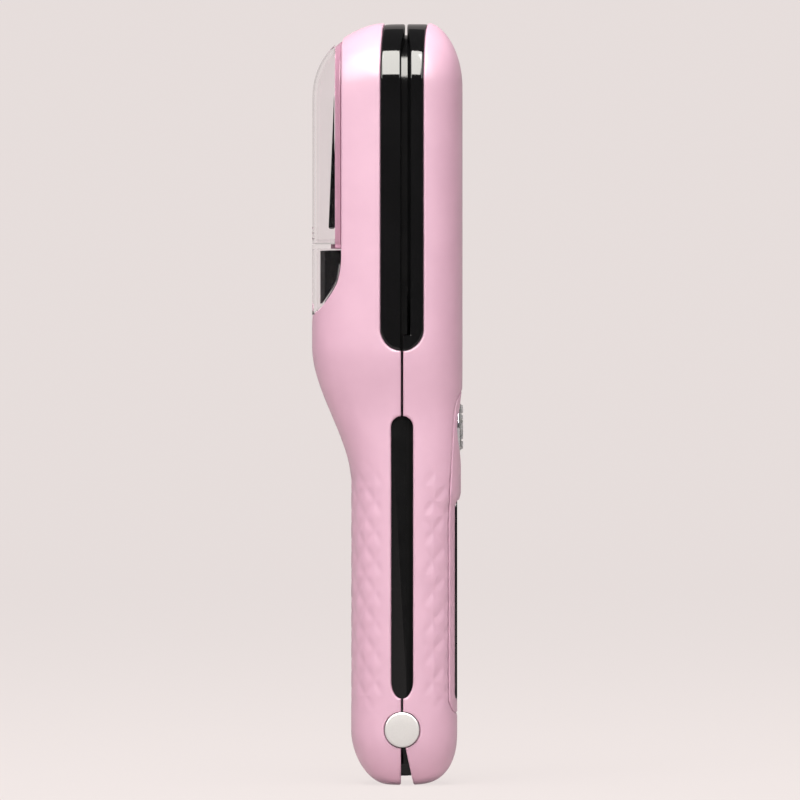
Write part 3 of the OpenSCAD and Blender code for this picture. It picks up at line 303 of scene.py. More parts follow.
def newMaterial(
        name, group, groupValues, dark, light, bump=0.02, distance=0.0001, span=(0.3, 0.7), **shaderValues):
    material = bpy.data.materials.new(name)
    material.use_nodes = True
    tree = material.node_tree
    shader = tree.nodes["Principled BSDF"]
    place = addNode(tree, "ShaderNodeTexCoord")
    effect = addNode(tree, "ShaderNodeGroup", node_tree=group)
    for key, value in groupValues.items():
        effect.inputs[key].default_value = value
    ramp = addNode(tree, "ShaderNodeValToRGB")
    for element, position, colour in zip(ramp.color_ramp.elements, span, (dark, light)):
        element.position, element.color = position, linearColour(colour)
    relief = addNode(tree, "ShaderNodeBump", Strength=bump, Distance=distance)
    wire(
        tree, (place.outputs["Object"], effect.inputs["Vector"]),
        (effect.outputs["Tone"], ramp.inputs["Fac"]), (ramp.outputs["Color"], shader.inputs["Base Color"]),
        (effect.outputs["Height"], relief.inputs["Height"]),
        (effect.outputs["Roughness"], shader.inputs["Roughness"]),
        (relief.outputs["Normal"], shader.inputs["Normal"]))
    for key, value in shaderValues.items():
        shader.inputs[key.replace("_", " ")].default_value = value
    return material


def skin(grain, wave, share, roughness, spread):
    return {
        "Grain Scale": grain, "Wave Scale": wave, "Wave Share": share, "Roughness": roughness,
        "Spread": spread,
    }


pinkPearl = newMaterial(
    "pinkPearl", skinGroup, skin(5200.0, 90.0, 0.25, 0.6, 0.05), (200, 158, 179), (204, 162, 183), bump=0.05,
    distance=0.00003, IOR=1.5, Specular_IOR_Level=0.45, Coat_Weight=0.45, Coat_Roughness=0.24, Coat_IOR=1.5)
bezelPink = newMaterial(
    "bezelPink", skinGroup, skin(5200.0, 90.0, 0.3, 0.25, 0.05), (164, 120, 140), (171, 126, 146), bump=0.03,
    distance=0.00003, IOR=1.5)
pianoBlack = newMaterial(
    "pianoBlack", skinGroup, skin(900.0, 60.0, 0.8, 0.06, 0.03), (9, 9, 10), (13, 13, 14), bump=0.015,
    distance=0.00004, IOR=1.5)
softBlack = newMaterial(
    "softBlack", skinGroup, skin(6500.0, 150.0, 0.2, 0.15, 0.05), (7, 7, 8), (11, 11, 12), bump=0.04,
    distance=0.00004, Specular_IOR_Level=0.45)
innerBlack = newMaterial(
    "innerBlack", skinGroup, skin(5000.0, 130.0, 0.3, 0.4, 0.05), (6, 6, 7), (10, 10, 11), bump=0.08,
    distance=0.00004, Specular_IOR_Level=0.06)
bladeSteel = newMaterial(
    "bladeSteel", brushGroup, {"Stretch": (600.0, 5200.0, 5200.0), "Roughness": 0.28, "Spread": 0.25},
    (196, 198, 202), (222, 224, 228), bump=0.08, distance=0.00003, Metallic=1.0)
screwSteel = newMaterial(
    "screwSteel", brushGroup, {"Stretch": (3000.0, 3000.0, 3000.0), "Roughness": 0.35, "Spread": 0.2},
    (168, 170, 174), (198, 200, 204), bump=0.06, distance=0.00003, Metallic=1.0)
satinSilver = newMaterial(
    "satinSilver", brushGroup, {"Stretch": (5200.0, 5200.0, 5200.0), "Roughness": 0.36, "Spread": 0.08},
    (230, 228, 227), (238, 236, 235), bump=0.03, distance=0.00002, Metallic=1.0)
chromePlate = newMaterial(
    "chromePlate", skinGroup, skin(1500.0, 220.0, 0.6, 0.06, 0.04), (214, 214, 218), (228, 228, 232),
    bump=0.01, distance=0.00003, Metallic=1.0)
turnedBrass = newMaterial(
    "turnedBrass", brushGroup, {"Stretch": (900.0, 900.0, 5200.0), "Roughness": 0.28, "Spread": 0.2},
    (190, 156, 92), (216, 184, 116), bump=0.06, distance=0.00003, Metallic=1.0)
gearAcetal = newMaterial(
    "gearAcetal", skinGroup, {"Roughness": 0.4}, (226, 222, 210), (236, 233, 224), bump=0.05,
    distance=0.00003)
padRubber = newMaterial(
    "padRubber", skinGroup, {"Grain Scale": 4200.0, "Wave Share": 0.1, "Roughness": 0.7, "Spread": 0.1},
    (30, 30, 32), (40, 40, 42), bump=0.25, distance=0.00006)
boardGreen = newMaterial(
    "boardGreen", skinGroup, {"Grain Scale": 1800.0, "Roughness": 0.3}, (12, 84, 48), (20, 104, 62),
    bump=0.05)
wireRed = newMaterial("wireRed", skinGroup, {"Roughness": 0.42}, (150, 22, 22), (176, 34, 30), bump=0.05)
cellSleeve = newMaterial(
    "cellSleeve", skinGroup, {"Wave Scale": 200.0, "Wave Share": 0.8, "Roughness": 0.22}, (36, 76, 140),
    (46, 92, 162), bump=0.1)
displayGrey = newMaterial("displayGrey", skinGroup, {"Roughness": 0.5}, (44, 44, 47), (58, 58, 62), bump=0.08)


def newGlass(name, tint, roughness, ior, waveScale, transmission):
    waves = {"Wave Scale": waveScale, "Wave Share": 0.9, "Roughness": roughness, "Spread": roughness * 0.5}
    return newMaterial(
        name, skinGroup, waves, tint, tuple(min(255, c + 5) for c in tint), distance=0.00005, span=(0.0, 1.0),
        Transmission_Weight=transmission, IOR=ior)


clearPlastic = newGlass("clearPlastic", (246, 244, 245), 0.02, 1.08, 120.0, 1.0)
cutCrystal = newGlass("cutCrystal", (250, 250, 252), 0.01, 1.9, 300.0, 0.75)


def giveWall(bm, wall, roll, keen=None):  # a wall inwards, with its outer rim rolled over
    bm.normal_update()
    outer = {v: v.normal.copy() for v in bm.verts}
    bmesh.ops.solidify(bm, geom=bm.faces[:], thickness=wall)
    bm.verts.index_update()
    sides = [f for f in bm.faces if 0 < sum(v in outer for v in f.verts) < len(f.verts)]
    rimTree = BVHTree.FromPolygons([v.co for v in bm.verts], [[v.index for v in f.verts] for f in sides])
    for v, normal in outer.items():
        off = None if keen and keen(v.co) else rimTree.find_nearest(v.co, roll)[3]
        if off is not None:
            v.co -= normal * (roll - math.sqrt(roll * roll - (roll - off) ** 2))


def finishPiece(
        name, bm, body, material, replaces=(), wall=None, roll=None, keen=None, sharpAngle=None):
    if wall:
        giveWall(bm, wall, roll, keen)
    bm.transform(Matrix.Translation((seamX * mm, 0, 0)) @ Matrix.Scale(mm, 4))
    mesh = bpy.data.meshes.new(name)
    bm.to_mesh(mesh)
    bm.free()
    mesh.shade_smooth()
    if sharpAngle is not None:
        mesh.set_sharp_from_angle(angle=math.radians(sharpAngle))
    piece = bpy.data.objects.new(name, mesh)
    bpy.context.scene.collection.objects.link(piece)
    mesh.materials.append(material)
    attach(piece, body)
    if replaces:
        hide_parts(*replaces)
    print("piece", name, len(mesh.polygons), "faces")
    return piece


shellSizes = {
    "pivotHeight": 18.0, "pivotRound": 5.85, "slotReach": 3.6, "slotLow": 27.9, "slotHigh": 118.5,
    "footStretch": 1.6, "trimReach": 7.0, "trimTurn": 146.3, "tailGapAngle": 11.8, "tailGapStart": -0.1,
    "columns": 42, "pivotRows": 26, "slotRows": 16, "trimRows": 18, "tailStep": 1.0, "slotStep": 0.9,
    "bulgeStep": 1.6, "headStep": 2.4,
}
slotTurn = shellSizes["slotHigh"] - shellSizes["slotReach"]
slotFoot = shellSizes["slotLow"] + shellSizes["footStretch"] * shellSizes["slotReach"]


def frontEdge(side, z):  # where a shell ends towards the seam, at a height
    s = shellSizes
    edge = form["seamHalf"]
    if side == pressSide and z < s["pivotHeight"]:
        slope = math.tan(math.radians(s["tailGapAngle"]))
        edge = max(edge, s["tailGapStart"] + slope * (s["pivotHeight"] - z))
    if abs(z - s["pivotHeight"]) < s["pivotRound"]:
        edge = max(edge, math.sqrt(s["pivotRound"] ** 2 - (z - s["pivotHeight"]) ** 2))
    if s["slotLow"] < z < slotFoot:
        down = (slotFoot - z) / s["footStretch"] / s["slotReach"]
        edge = max(edge, s["slotReach"] * math.sqrt(1 - down ** 2))
    elif slotFoot <= z <= slotTurn:
        edge = s["slotReach"]
    elif slotTurn < z < s["slotHigh"]:
        edge = max(edge, math.sqrt(s["slotReach"] ** 2 - (z - slotTurn) ** 2))
    if z >= s["trimTurn"]:
        edge = s["trimReach"]
    elif z > s["trimTurn"] - s["trimReach"]:
        edge = max(edge, math.sqrt(s["trimReach"] ** 2 - (s["trimTurn"] - z) ** 2))
    return edge


def shellHeights(extra=()):  # rows of points, finer at each arc and each rolled edge
    s = shellSizes
    reach, low, high, turn = s["slotReach"], s["slotLow"], s["slotHigh"], s["trimTurn"]
    pivot, r, trimLow = s["pivotHeight"], s["pivotRound"], s["trimTurn"] - s["trimReach"]
    tail = [form["tailRound"] * (1 - math.cos(math.radians(a))) for a in range(6, 91, 4)]
    rolled = ((pivot + r, 1), (pivot - r, -1), (low, -1), (high, 1), (trimLow, -1))
    rolls = [z + way * form["roll"] * k for z, way in rolled for k in rollSteps]
    return mergedHeights(
        tail, arcRows(pivot - r, pivot + r, pivot, r, s["pivotRows"]),
        evenRows(pivot + r, low, s["tailStep"]),
        arcRows(low, slotFoot, slotFoot, s["footStretch"] * reach, s["slotRows"]),
        evenRows(slotFoot, slotTurn, s["slotStep"]),
        arcRows(slotTurn, high, slotTurn, reach, s["slotRows"]), evenRows(high, trimLow, s["bulgeStep"]),
        arcRows(trimLow, turn, turn, s["trimReach"], s["trimRows"]),
        evenRows(turn, form["headCentre"], s["headStep"]), rolls, extra)


tailTop = 0.7  # the rows below it are those of tailRows


def tailRows(side):
    front = frontEdge(side, 0.0)
    return [{"z": 0.0, "front": front, "shrink": k} for k in (0.0, 0.3, 0.6, 0.85, 1.0)] + [
        {"z": z, "front": frontEdge(side, z)} for z in (0.06, 0.25, 0.6)]


quilt = {
    "low": 20.0, "high": 108.0, "fadeLow": 12, "fadeHigh": 14, "flank": 0.3, "flankFade": 0.25, "girth": 17,
    "pitch": 9.6, "across": 7.0, "depth": 0.3, "sharpness": 4, "bend": 1.8,
}


def quiltDepth(side, x, y, z):  # shallow diamonds pressed into the outer flanks of the handle
    q = quilt
    fade = smooth((z - q["low"]) / q["fadeLow"]) * smooth((q["high"] - z) / q["fadeHigh"])
    outer = smooth((x / armDepth(side, z) - q["flank"]) / q["flankFade"])
    around = math.atan2(y / armHalf(z), x / armDepth(side, z)) * q["girth"]
    a = math.pi * (z / q["pitch"] + around / q["across"])
    b = math.pi * (z / q["pitch"] - around / q["across"])
    crease = max(abs(math.cos(a)), abs(math.cos(b))) ** q["sharpness"]
    return q["depth"] * fade * outer * crease


def quilted(side, x, y, z):
    sink = quiltDepth(side, x, y, z) if quilt["low"] < z < quilt["high"] else 0.0
    if sink:
        nx = (x / armDepth(side, z)) ** quilt["bend"] / armDepth(side, z)
        ny = (y / armHalf(z)) ** quilt["bend"] / armHalf(z)
        size = math.hypot(nx, ny) or 1.0
        x, y = x - sink * nx / size, y - sink * ny / size
    return Vector((side * x, -y, z))


fanAngles = [math.radians(a) for a in range(4, 91, 3)]
fanAngles[-1] = math.pi / 2

# the edge of the cutter arm's shell beside the clear pieces; over the top it closes in twice
rim = {
    "points": (
        (28.85, 150.9), (26.1, 153.4), (24.3, 155.8), (22.5, 158.3), (21.0, 161.1), (20.1, 164.5),
        (19.7, 168.4)),
    "reach": 19.7, "low": 150.9, "high": 168.4, "step": 0.6,
    "closeLow": 237.0, "closing": ((1.5, 8.0), (0.2, 4)),
    "evenHigh": 236, "blur": (-0.9, -0.45, 0.0, 0.45, 0.9),
}


def lineX(points, z):  # where a broken line stands at a height
    for (x0, z0), (x1, z1) in zip(points, points[1:]):
        if z <= z1:
            return mixed(x0, x1, max(0.0, z - z0) / (z1 - z0))
    return points[-1][0]


def rimEdge(z, shift=0.0):
    edge = lineX(rim["points"], z) + shift
    for rise, length in rim["closing"]:
        edge -= rise * smooth(max(0.0, z - rim["closeLow"]) / length)
    return edge


def rimEdgeSmooth(z, shift=0.0):
    if z >= rim["evenHigh"]:
        return rimEdge(z, shift)
    return sum(rimEdge(z + d, shift) for d in rim["blur"]) / len(rim["blur"])


def cutterBack(z):
    return None if z < rim["low"] + 0.05 else rimEdgeSmooth(z)


def fanBack(side, angle, edgeAt, inset=0.0):  # the back edge over the top, found where the surface meets it
    x = edgeAt(form["headCentre"])
    for _ in range(5):  # each round comes closer
        x = edgeAt(form["headCentre"] + fanRadius(side, angle, x, inset) * math.sin(angle))
    return x


top = {"lean": 1.45, "pinkLift": 0.42, "liftNear": 19.0, "liftFade": 10.0, "trimLift": -0.22}


def topLean(side, angle):  # over the top the bands lean a little towards the press arm
    return side * top["lean"] * (1 - math.cos(angle))


def topLift(x):  # the pink stands a little proud of the trims over the top
    return top["pinkLift"] * smooth((top["liftNear"] - x) / top["liftFade"])


def makeShell(name, side, heights, backAt, topBack, body, node):  # an arm's shell, with the quilted handle
    rows = tailRows(side)
    rows += [{"z": z, "front": frontEdge(side, z), "back": backAt(z)} for z in heights if z > tailTop]
    for a in fanAngles:
        front = shellSizes["trimReach"] + topLean(side, a)
        rows.append({"angle": a, "front": front, "back": topBack(a), "lift": topLift})
    sheet = armSheet(side, rows, shellSizes["columns"], relief=quilted, roll=form["roll"])
    finishPiece(name, sheet, body, pinkPearl, (node,), wall=form["wall"], roll=form["roll"])


print("cutter arm")
makeShell(
    "cutterShell", cutterSide, shellHeights(evenRows(rim["low"], rim["high"], rim["step"])), cutterBack,
    lambda a: fanBack(cutterSide, a, rimEdge), "cutter_arm", "cutter_arm_shell")

print("press arm")
panelOutline = (
    (17.9, 22.6), (16.2, 24.2), (15.15, 26.9), (15.15, 84.4), (15.5, 94.0), (15.8, 100.0), (16.06, 105.3),
    (16.3, 110.7), (16.65, 116.1), (17.1, 121.0), (17.6, 123.0), (18.2, 124.6), (18.8, 125.8), (19.6, 127.0))


def pressBack(z):
    if not panelOutline[0][1] <= z <= panelOutline[-1][1]:
        return None
    edge = lineX(panelOutline, z)
    return edge if edge < armDepth(pressSide, z) - 0.01 else None


# finer rows beside the panel's foot, its slanting part and its top
panelFoot = [22.5, 22.6, 22.8, 23.4, 24.2, 25.4, 26.9]
pressHeights = shellHeights(panelFoot + evenRows(84.0, 121.0, 0.8) + evenRows(121.0, 127.0, 0.2) + [127.1])
makeShell("pressShell", pressSide, pressHeights, pressBack, lambda a: None, "press_arm", "press_arm_shell")

# the panel with its dish and the recess of the display strip
panel = {
    "low": 22.72, "high": 126.7, "gap": 0.12, "wall": 1.0, "roll": 0.3, "columns": 60, "dishHeight": 114.9,
    "dishReach": 12.5, "dishFloor": 17.4, "dishRound": 39.2, "dishSoft": 0.25, "farFromDish": 3,
    "ringRound": 10.25, "ringSink": 0.5, "lensLow": 27.5, "lensHigh": 91.5, "lensHalf": 9.1,
    "lensFloor": 16.2, "cornerRound": 2.4,
}


def insideLens(y, z):
    p = panel
    r = p["cornerRound"]
    dy = max(0.0, abs(y) - (p["lensHalf"] - r))
    dz = max(0.0, p["lensLow"] + r - z, z - (p["lensHigh"] - r))
    return math.hypot(dy, dz) <= r


def panelSurface(side, x, y, z):
    p = panel
    off = math.hypot(y, z - p["dishHeight"])
    if off < p["dishReach"]:  # a shallow spherical dish, with a softened meeting line
        dish = p["dishFloor"] + p["dishRound"] - math.sqrt(max(0.0, p["dishRound"] ** 2 - off ** 2))
        soft = p["dishSoft"]
        gap = dish - x
        lift = soft / 2 if gap > p["farFromDish"] else 0.0
        x = x + 0.5 * (gap - math.sqrt(gap * gap + soft * soft)) + lift
        if off < p["ringRound"]:
            x = p["dishFloor"] - p["ringSink"]
    if insideLens(y, z):
        x = min(x, p["lensFloor"])
    return Vector((side * x, -y, z))


panelBands = (  # from, to and step of the panel's rows, finer at the ends of the lens and in the dish
    (panel["low"], 27.5, 0.4), (27.5, 30.0, 0.25), (30.0, 89.0, 1.0), (89.0, 91.4, 0.25), (91.6, 102.0, 0.7),
    (102.0, panel["high"], 0.3))
panelHeights = mergedHeights([27.48, 27.53, 91.47, 91.52], *(evenRows(*band) for band in panelBands))
panelRows = [{"z": z, "front": lineX(panelOutline, z) + panel["gap"]} for z in panelHeights]
panelRows = [row for row in panelRows if row["front"] < armDepth(pressSide, row["z"]) - 0.02]
panelSheet = armSheet(pressSide, panelRows, panel["columns"], relief=panelSurface, roll=panel["roll"])
finishPiece(
    "controlPanel", panelSheet, "press_arm", pinkPearl, ("control_panel",), wall=panel["wall"],
    roll=panel["roll"])

print("trims")
trim = {
    "outer": 6.9, "turn": 146.3, "depth": 4.4, "pressDepth": 3.4, "pressInner": 2.6, "footTop": 144.1,
    "roll": 0.55, "columns": 14, "rows": 14, "step": 3.0, "closeLow": 236.5, "closeLength": 7.5,
    "sharp": 60.0, cutterSide: (1.35, 3.5), pressSide: (0.9, 2.5),
}


def trimBack(z):
    low = trim["turn"] - z
    return trim["outer"] if low <= 0 else math.sqrt(max(0.0, trim["outer"] ** 2 - low ** 2))


def trimSink(x):  # the trims lie a little lower than the pink over the top
    return top["trimLift"]


def trimRows(side, inner, foot=None):  # below the lip the press arm's band reaches in to the seam
    start = foot or inner
    low = trim["turn"] - math.sqrt(trim["outer"] ** 2 - start ** 2) + 0.02
    heights = mergedHeights(
        arcRows(low, trim["turn"], trim["turn"], trim["outer"], trim["rows"]),
        [trim["footTop"], trim["footTop"] + 0.05],
        evenRows(trim["turn"], form["headCentre"], trim["step"]))
    rows = []
    for z in heights:
        front = foot if foot and z <= trim["footTop"] else inner
        rows.append({"z": z, "front": front, "back": max(front + 0.02, trimBack(z))})
    for a in fanAngles:
        rows.append({"angle": a, "front": inner, "back": trim["outer"] + topLean(side, a), "lift": trimSink})
    return rows


def trimSheet(side, inner, foot=None):  # towards the top the inner edge comes out over the lip
    flare, reach = trim[side]

    def closedOver(side, x, y, z):
        share = smooth((z - trim["closeLow"]) / trim["closeLength"]) * (1 - smooth((x - inner) / reach))
        return Vector((side * (x - flare * share), -y, z))

    return armSheet(side, trimRows(side, inner, foot), trim["columns"], relief=closedOver, roll=trim["roll"])


def keenFoot(co):  # the edge at the press band's foot isn't rolled over
    return co.z < trim["footTop"] + 0.1 and co.x < trim["pressInner"] + 0.2


finishPiece(
    "cutterTrim", trimSheet(cutterSide, form["seamHalf"]), "cutter_arm", pianoBlack,
    ("cutter_trim",), wall=trim["depth"], roll=trim["roll"])
finishPiece(
    "pressTrim", trimSheet(pressSide, trim["pressInner"], form["seamHalf"]), "press_arm", pianoBlack,
    ("press_trim",), wall=trim["pressDepth"], roll=trim["roll"], keen=keenFoot,
    sharpAngle=trim["sharp"])

print("clear pieces")
bezel = {
    "inset": 0.6, "near": 19.75, "far": 21.6, "low": 172.0, "gap": 0.05, "step": 3.0, "columns": 6,
    "wall": 1.9, "roll": 0.25,
}
bezelHeights = evenRows(bezel["low"], form["headCentre"], bezel["step"])
bezelRows = [{"z": z, "front": bezel["near"]} for z in bezelHeights]
for a in fanAngles:
    front = fanBack(cutterSide, a, lambda z: rimEdge(z, bezel["gap"]), bezel["inset"])
    bezelRows.append({"angle": a, "front": front})
for row in bezelRows:
    row["back"] = bezel["far"]
bezelSheet = armSheet(cutterSide, bezelRows, bezel["columns"], inset=bezel["inset"], roll=bezel["roll"])
finishPiece(
    "chamberBezel", bezelSheet, "cutter_arm", bezelPink, ("chamber_bezel",), wall=bezel["wall"],
    roll=bezel["roll"])

chamber = {
    "near": 21.7, "low": 174.0, "fineHigh": 180.5, "fineStep": 0.17, "step": 2.0, "inset": 0.1, "wall": 1.2,
    "columns": 40, "ridges": (1.6, 3.3, 5.0), "ridgeRise": 0.12, "ridgeWidth": 0.34, "ridgeHalf": 5.0,
    "ridgeFade": 1.2, "outerFrom": 0.9, "outerFade": 0.06,
}
clearSharp = 50.0


def chamberSurface(side, x, y, z):  # three low grip ridges across the back
    c = chamber
    outer = smooth((x / armDepth(side, z, c["inset"]) - c["outerFrom"]) / c["outerFade"])
    outer *= 1 - smooth((abs(y) - c["ridgeHalf"]) / c["ridgeFade"])
    ridge = sum(math.exp(-((z - c["low"] - h) / c["ridgeWidth"]) ** 2) for h in c["ridges"])
    return Vector((side * (x + c["ridgeRise"] * outer * min(1.0, ridge)), -y, z))


def makeClear(name, rows, columns, wall, body, node, inset=0.0, relief=None):
    bm = armSheet(cutterSide, rows, columns, inset=inset, relief=relief)
    bmesh.ops.solidify(bm, geom=bm.faces[:], thickness=wall)
    finishPiece(name, bm, body, clearPlastic, (node,), sharpAngle=clearSharp)


chamberHeights = mergedHeights(
    evenRows(chamber["low"], chamber["fineHigh"], chamber["fineStep"]),
    evenRows(chamber["fineHigh"], form["headCentre"], chamber["step"]))
chamberRows = [{"z": chamber["low"], "shrink": k} for k in (0.0, 0.3, 0.6, 0.85, 0.96)]
chamberRows += [{"z": z} for z in chamberHeights] + [{"angle": a} for a in fanAngles]
for row in chamberRows:
    row["front"] = chamber["near"]
makeClear(
    "hairChamber", chamberRows, chamber["columns"], chamber["wall"], "hair_chamber", "hair_chamber",
    chamber["inset"], chamberSurface)

window = {
    "low": 151.0, "high": 173.5, "gap": 0.1, "reach": 28.9, "step": 0.6, "upperStep": 1.2, "wall": 1.4,
    "columns": 36,
}
windowHeights = mergedHeights(
    evenRows(window["low"], rim["high"], window["step"]),
    evenRows(rim["high"], window["high"], window["upperStep"]))
windowRows = [{"z": z, "front": rimEdgeSmooth(z, window["gap"])} for z in windowHeights]
windowRows = [row for row in windowRows if row["front"] < window["reach"]]
for k in (0.96, 0.8, 0.5, 0.2, 0.0):
    windowRows.append({"z": window["high"], "front": rim["reach"] + window["gap"], "shrink": k})
makeClear("lowerWindow", windowRows, window["columns"], window["wall"], "cutter_arm", "lower_window")


def spunPiece(profile, axis, centre, steps):  # a profile of radius and height, spun round an axis
    bm = bmesh.new()
    points = [bm.verts.new((r, 0, h)) for r, h in profile]
    for a, b in zip(points, points[1:]):
        bm.edges.new((a, b))
    line = bm.verts[:] + bm.edges[:]
    bmesh.ops.spin(bm, geom=line, cent=(0, 0, 0), axis=(0, 0, 1), angle=math.tau, steps=steps, use_merge=True)
    bmesh.ops.remove_doubles(bm, verts=bm.verts[:], dist=0.001)
    bmesh.ops.dissolve_degenerate(bm, dist=sliver, edges=bm.edges[:])
    bmesh.ops.recalc_face_normals(bm, faces=bm.faces[:])
    turn = Vector((0, 0, 1)).rotation_difference(Vector(axis)).to_matrix().to_4x4()
    bm.transform(Matrix.Translation(centre) @ turn)
    return bm


def addBlock(bm, centre, size):
    bmesh.ops.create_cube(bm, size=1, matrix=Matrix.Translation(centre) @ Matrix.Diagonal((*size, 1)))


def joined(first, *others):
    for other in others:
        spare = bpy.data.meshes.new("spare")
        other.to_mesh(spare)
        other.free()
        first.from_mesh(spare)
        bpy.data.meshes.remove(spare)
    return first


print("pivot, button and display")
cap = {
    "round": 5.6, "stem": 2.5, "flat": 2.0, "near": 16.6, "seat": 17.25, "top": 18.35, "edge": 0.28,
    "steps": 72, "sharp": 60.0,
}


def capProfile():
    r, stem, near, seat, high, edge = (cap[k] for k in ("round", "stem", "near", "seat", "top", "edge"))
    return (
        (0, near), (stem, near), (stem, seat), (r - 0.1, seat), (r, seat + 0.1), (r, high - edge),
        (r - 0.08, high - 0.11), (r - edge, high - 0.02), (r - edge - 0.25, high), (cap["flat"], high),
        (0, high))


pivot = (0, 0, shellSizes["pivotHeight"])
caps = joined(*(spunPiece(capProfile(), (0, way, 0), pivot, cap["steps"]) for way in (-1, 1)))
finishPiece(
    "pivotCaps", caps, "cutter_arm", satinSilver, ("pivot_caps",), sharpAngle=cap["sharp"])

button = {"height": 114.9, "top": 17.795, "steps": 72, "ringSteps": 80, "sharp": 50.0, "ringSharp": 60.0}
ringProfile = (  # radius and X
    (9.05, 16.8), (10.2, 16.8), (10.2, 18.1), (10.1, 18.4), (9.85, 18.55), (9.4, 18.5), (9.12, 18.3),
    (9.05, 18.1), (9.05, 16.8))
buttonAt = (0, 0, button["height"])
ringMesh = spunPiece(ringProfile, (1, 0, 0), buttonAt, button["ringSteps"])
finishPiece(
    "buttonRing", ringMesh, "press_arm", chromePlate, ("button_ring",),
    sharpAngle=button["ringSharp"])
buttonProfile = (
    (0, 12.4), (1.6, 12.4), (1.6, 14.45), (9.8, 14.45), (9.8, 15.4), (8.8, 15.4), (8.8, 17.5), (8.65, 17.72),
    (8.4, 17.8), (0, 17.8))
buttonMesh = spunPiece(buttonProfile, (1, 0, 0), buttonAt, button["steps"])
finishPiece(
    "powerButton", buttonMesh, "power_button", chromePlate, ("power_button",),
    sharpAngle=button["sharp"])

stone = {
    "wide": 2.9, "pitch": 3.1, "facets": 8, "girdle": 0.7, "shoulder": 1.2, "crown": 1.85,
    "shoulderShare": 0.82, "tableShare": 0.5, "crownTurn": 0.39, "sharp": 5.0,
}


def ringOf(count, radius, start):
    angles = [math.radians(360 // count * k + start) for k in range(count)]
    return [(radius * math.cos(a), radius * math.sin(a)) for a in angles]


def addCrystal(bm, y, z):  # a brilliant: short girdle, tall crown and a table
    s = stone
    r = s["wide"] / 2
    turn = Matrix.Translation((button["top"], y, button["height"] + z)) @ Matrix.Rotation(math.pi / 2, 4, "Y")
    for r1, r2, low, high, spin in (
            (r, r, 0.0, s["girdle"], 0.0), (r, r * s["shoulderShare"], s["girdle"], s["shoulder"], 0.0),
            (r * s["shoulderShare"], r * s["tableShare"], s["shoulder"], s["crown"], s["crownTurn"])):
        bmesh.ops.create_cone(
            bm, cap_ends=True, segments=s["facets"], radius1=r1, radius2=r2, depth=high - low,
            matrix=turn @ Matrix.Rotation(spin, 4, "Z") @ Matrix.Translation((0, 0, (low + high) / 2)))


stones = bmesh.new()
for y, z in [(0, 0)] + ringOf(6, stone["pitch"], 30) + ringOf(12, 2 * stone["pitch"], 0):
    addCrystal(stones, y, z)
finishPiece(
    "buttonCrystals", stones, "power_button", cutCrystal, ("button_crystals",),
    sharpAngle=stone["sharp"])

lens = {
    "half": 9.0, "low": 27.6, "high": 91.4, "back": 16.25, "front": 17.75, "corner": 2.3, "edge": 0.35,
    "sharp": 30.0,
}
lensMesh = bmesh.new()
addBlock(
    lensMesh, ((lens["back"] + lens["front"]) / 2, 0, (lens["low"] + lens["high"]) / 2),
    (lens["front"] - lens["back"], 2 * lens["half"], lens["high"] - lens["low"]))
bevels = (  # the upright corners, then the rim of the face
    (lens["corner"], 8, lambda e: abs((e.verts[0].co - e.verts[1].co).x) > 1),
    (lens["edge"], 3, lambda e: all(v.co.x > lens["front"] - 0.01 for v in e.verts)))
for offset, segments, chosen in bevels:
    bmesh.ops.bevel(
        lensMesh, geom=[e for e in lensMesh.edges if chosen(e)], offset=offset, offset_type="OFFSET",
        segments=segments, profile=0.5, affect="EDGES", material=-1)
finishPiece(
    "displayLens", lensMesh, "press_arm", pianoBlack, ("display_lens",),
    sharpAngle=lens["sharp"])

nodeWeld = 0.000002  # in metres, as the frame's meshes are


def smoothedNode(node, name, body, material, angle=28.0, extra=None):  # a merged copy shades smoothly
    bm = bmesh.new()
    bm.from_mesh(cadNodes[node].data)
    bmesh.ops.remove_doubles(bm, verts=bm.verts[:], dist=nodeWeld)
    bm.transform(Matrix.Scale(1 / mm, 4) @ Matrix.Translation((-seamX * mm, 0, 0)))
    if extra:
        bm = joined(bm, extra)
    return finishPiece(name, bm, body, material, (node,), sharpAngle=angle)


def stadiumRing(profile, low, high):  # a ring round two centres: the spun profile, its halves moved apart
    def cut(z):
        everything = ring.verts[:] + ring.edges[:] + ring.faces[:]
        bmesh.ops.bisect_plane(ring, geom=everything, plane_co=(0, 0, z), plane_no=(0, 0, 1))

    ring = spunPiece(profile, (1, 0, 0), (0, 0, 0), 96)
    cut(-0.02)  # just below the middle, so that the halves part cleanly
    for v in ring.verts:
        v.co.z += high if v.co.z > -0.01 else low
    for z in (low + 0.5, (low + high) / 2, high - 0.5):  # keeps the straight part flat
        cut(z)
    return ring


lip = {
    "inner": 15.0, "outer": 16.22, "near": -0.3, "far": 2.12, "edge": 0.06, "low": 160.4, "high": 225.0,
    "mattHigh": 160.8, "tongueAt": (2.3, 0, 6.7), "tongue": (1.3, 16.8, 7.5), "sideX": 0.65, "sideY": 15.7,
    "sideZ": 152.6, "side": (1.9, 1.04, 16.0),
}
lipSection = (
    (lip["inner"], lip["near"]), (lip["outer"] - lip["edge"], lip["near"]),
    (lip["outer"], lip["near"] + lip["edge"]), (lip["outer"], lip["far"] - lip["edge"]),
    (lip["outer"] - lip["edge"], lip["far"]), (lip["inner"], lip["far"]), (lip["inner"], lip["near"]))
lipRing = stadiumRing(lipSection, lip["low"], lip["high"])
for f in lipRing.faces:  # below the straight part the lip is matt
    f.material_index = 1 if f.calc_center_median().z < lip["mattHigh"] else 0
addBlock(lipRing, lip["tongueAt"], lip["tongue"])
for way in (-1, 1):  # beside the round foot the lip's sides run straight on
    addBlock(lipRing, (lip["sideX"], way * lip["sideY"], lip["sideZ"]), lip["side"])
cutterFrame = smoothedNode(
    "cutter_arm_frame", "cutterFrame", "cutter_arm", softBlack, extra=lipRing)
cutterFrame.data.materials.append(innerBlack)

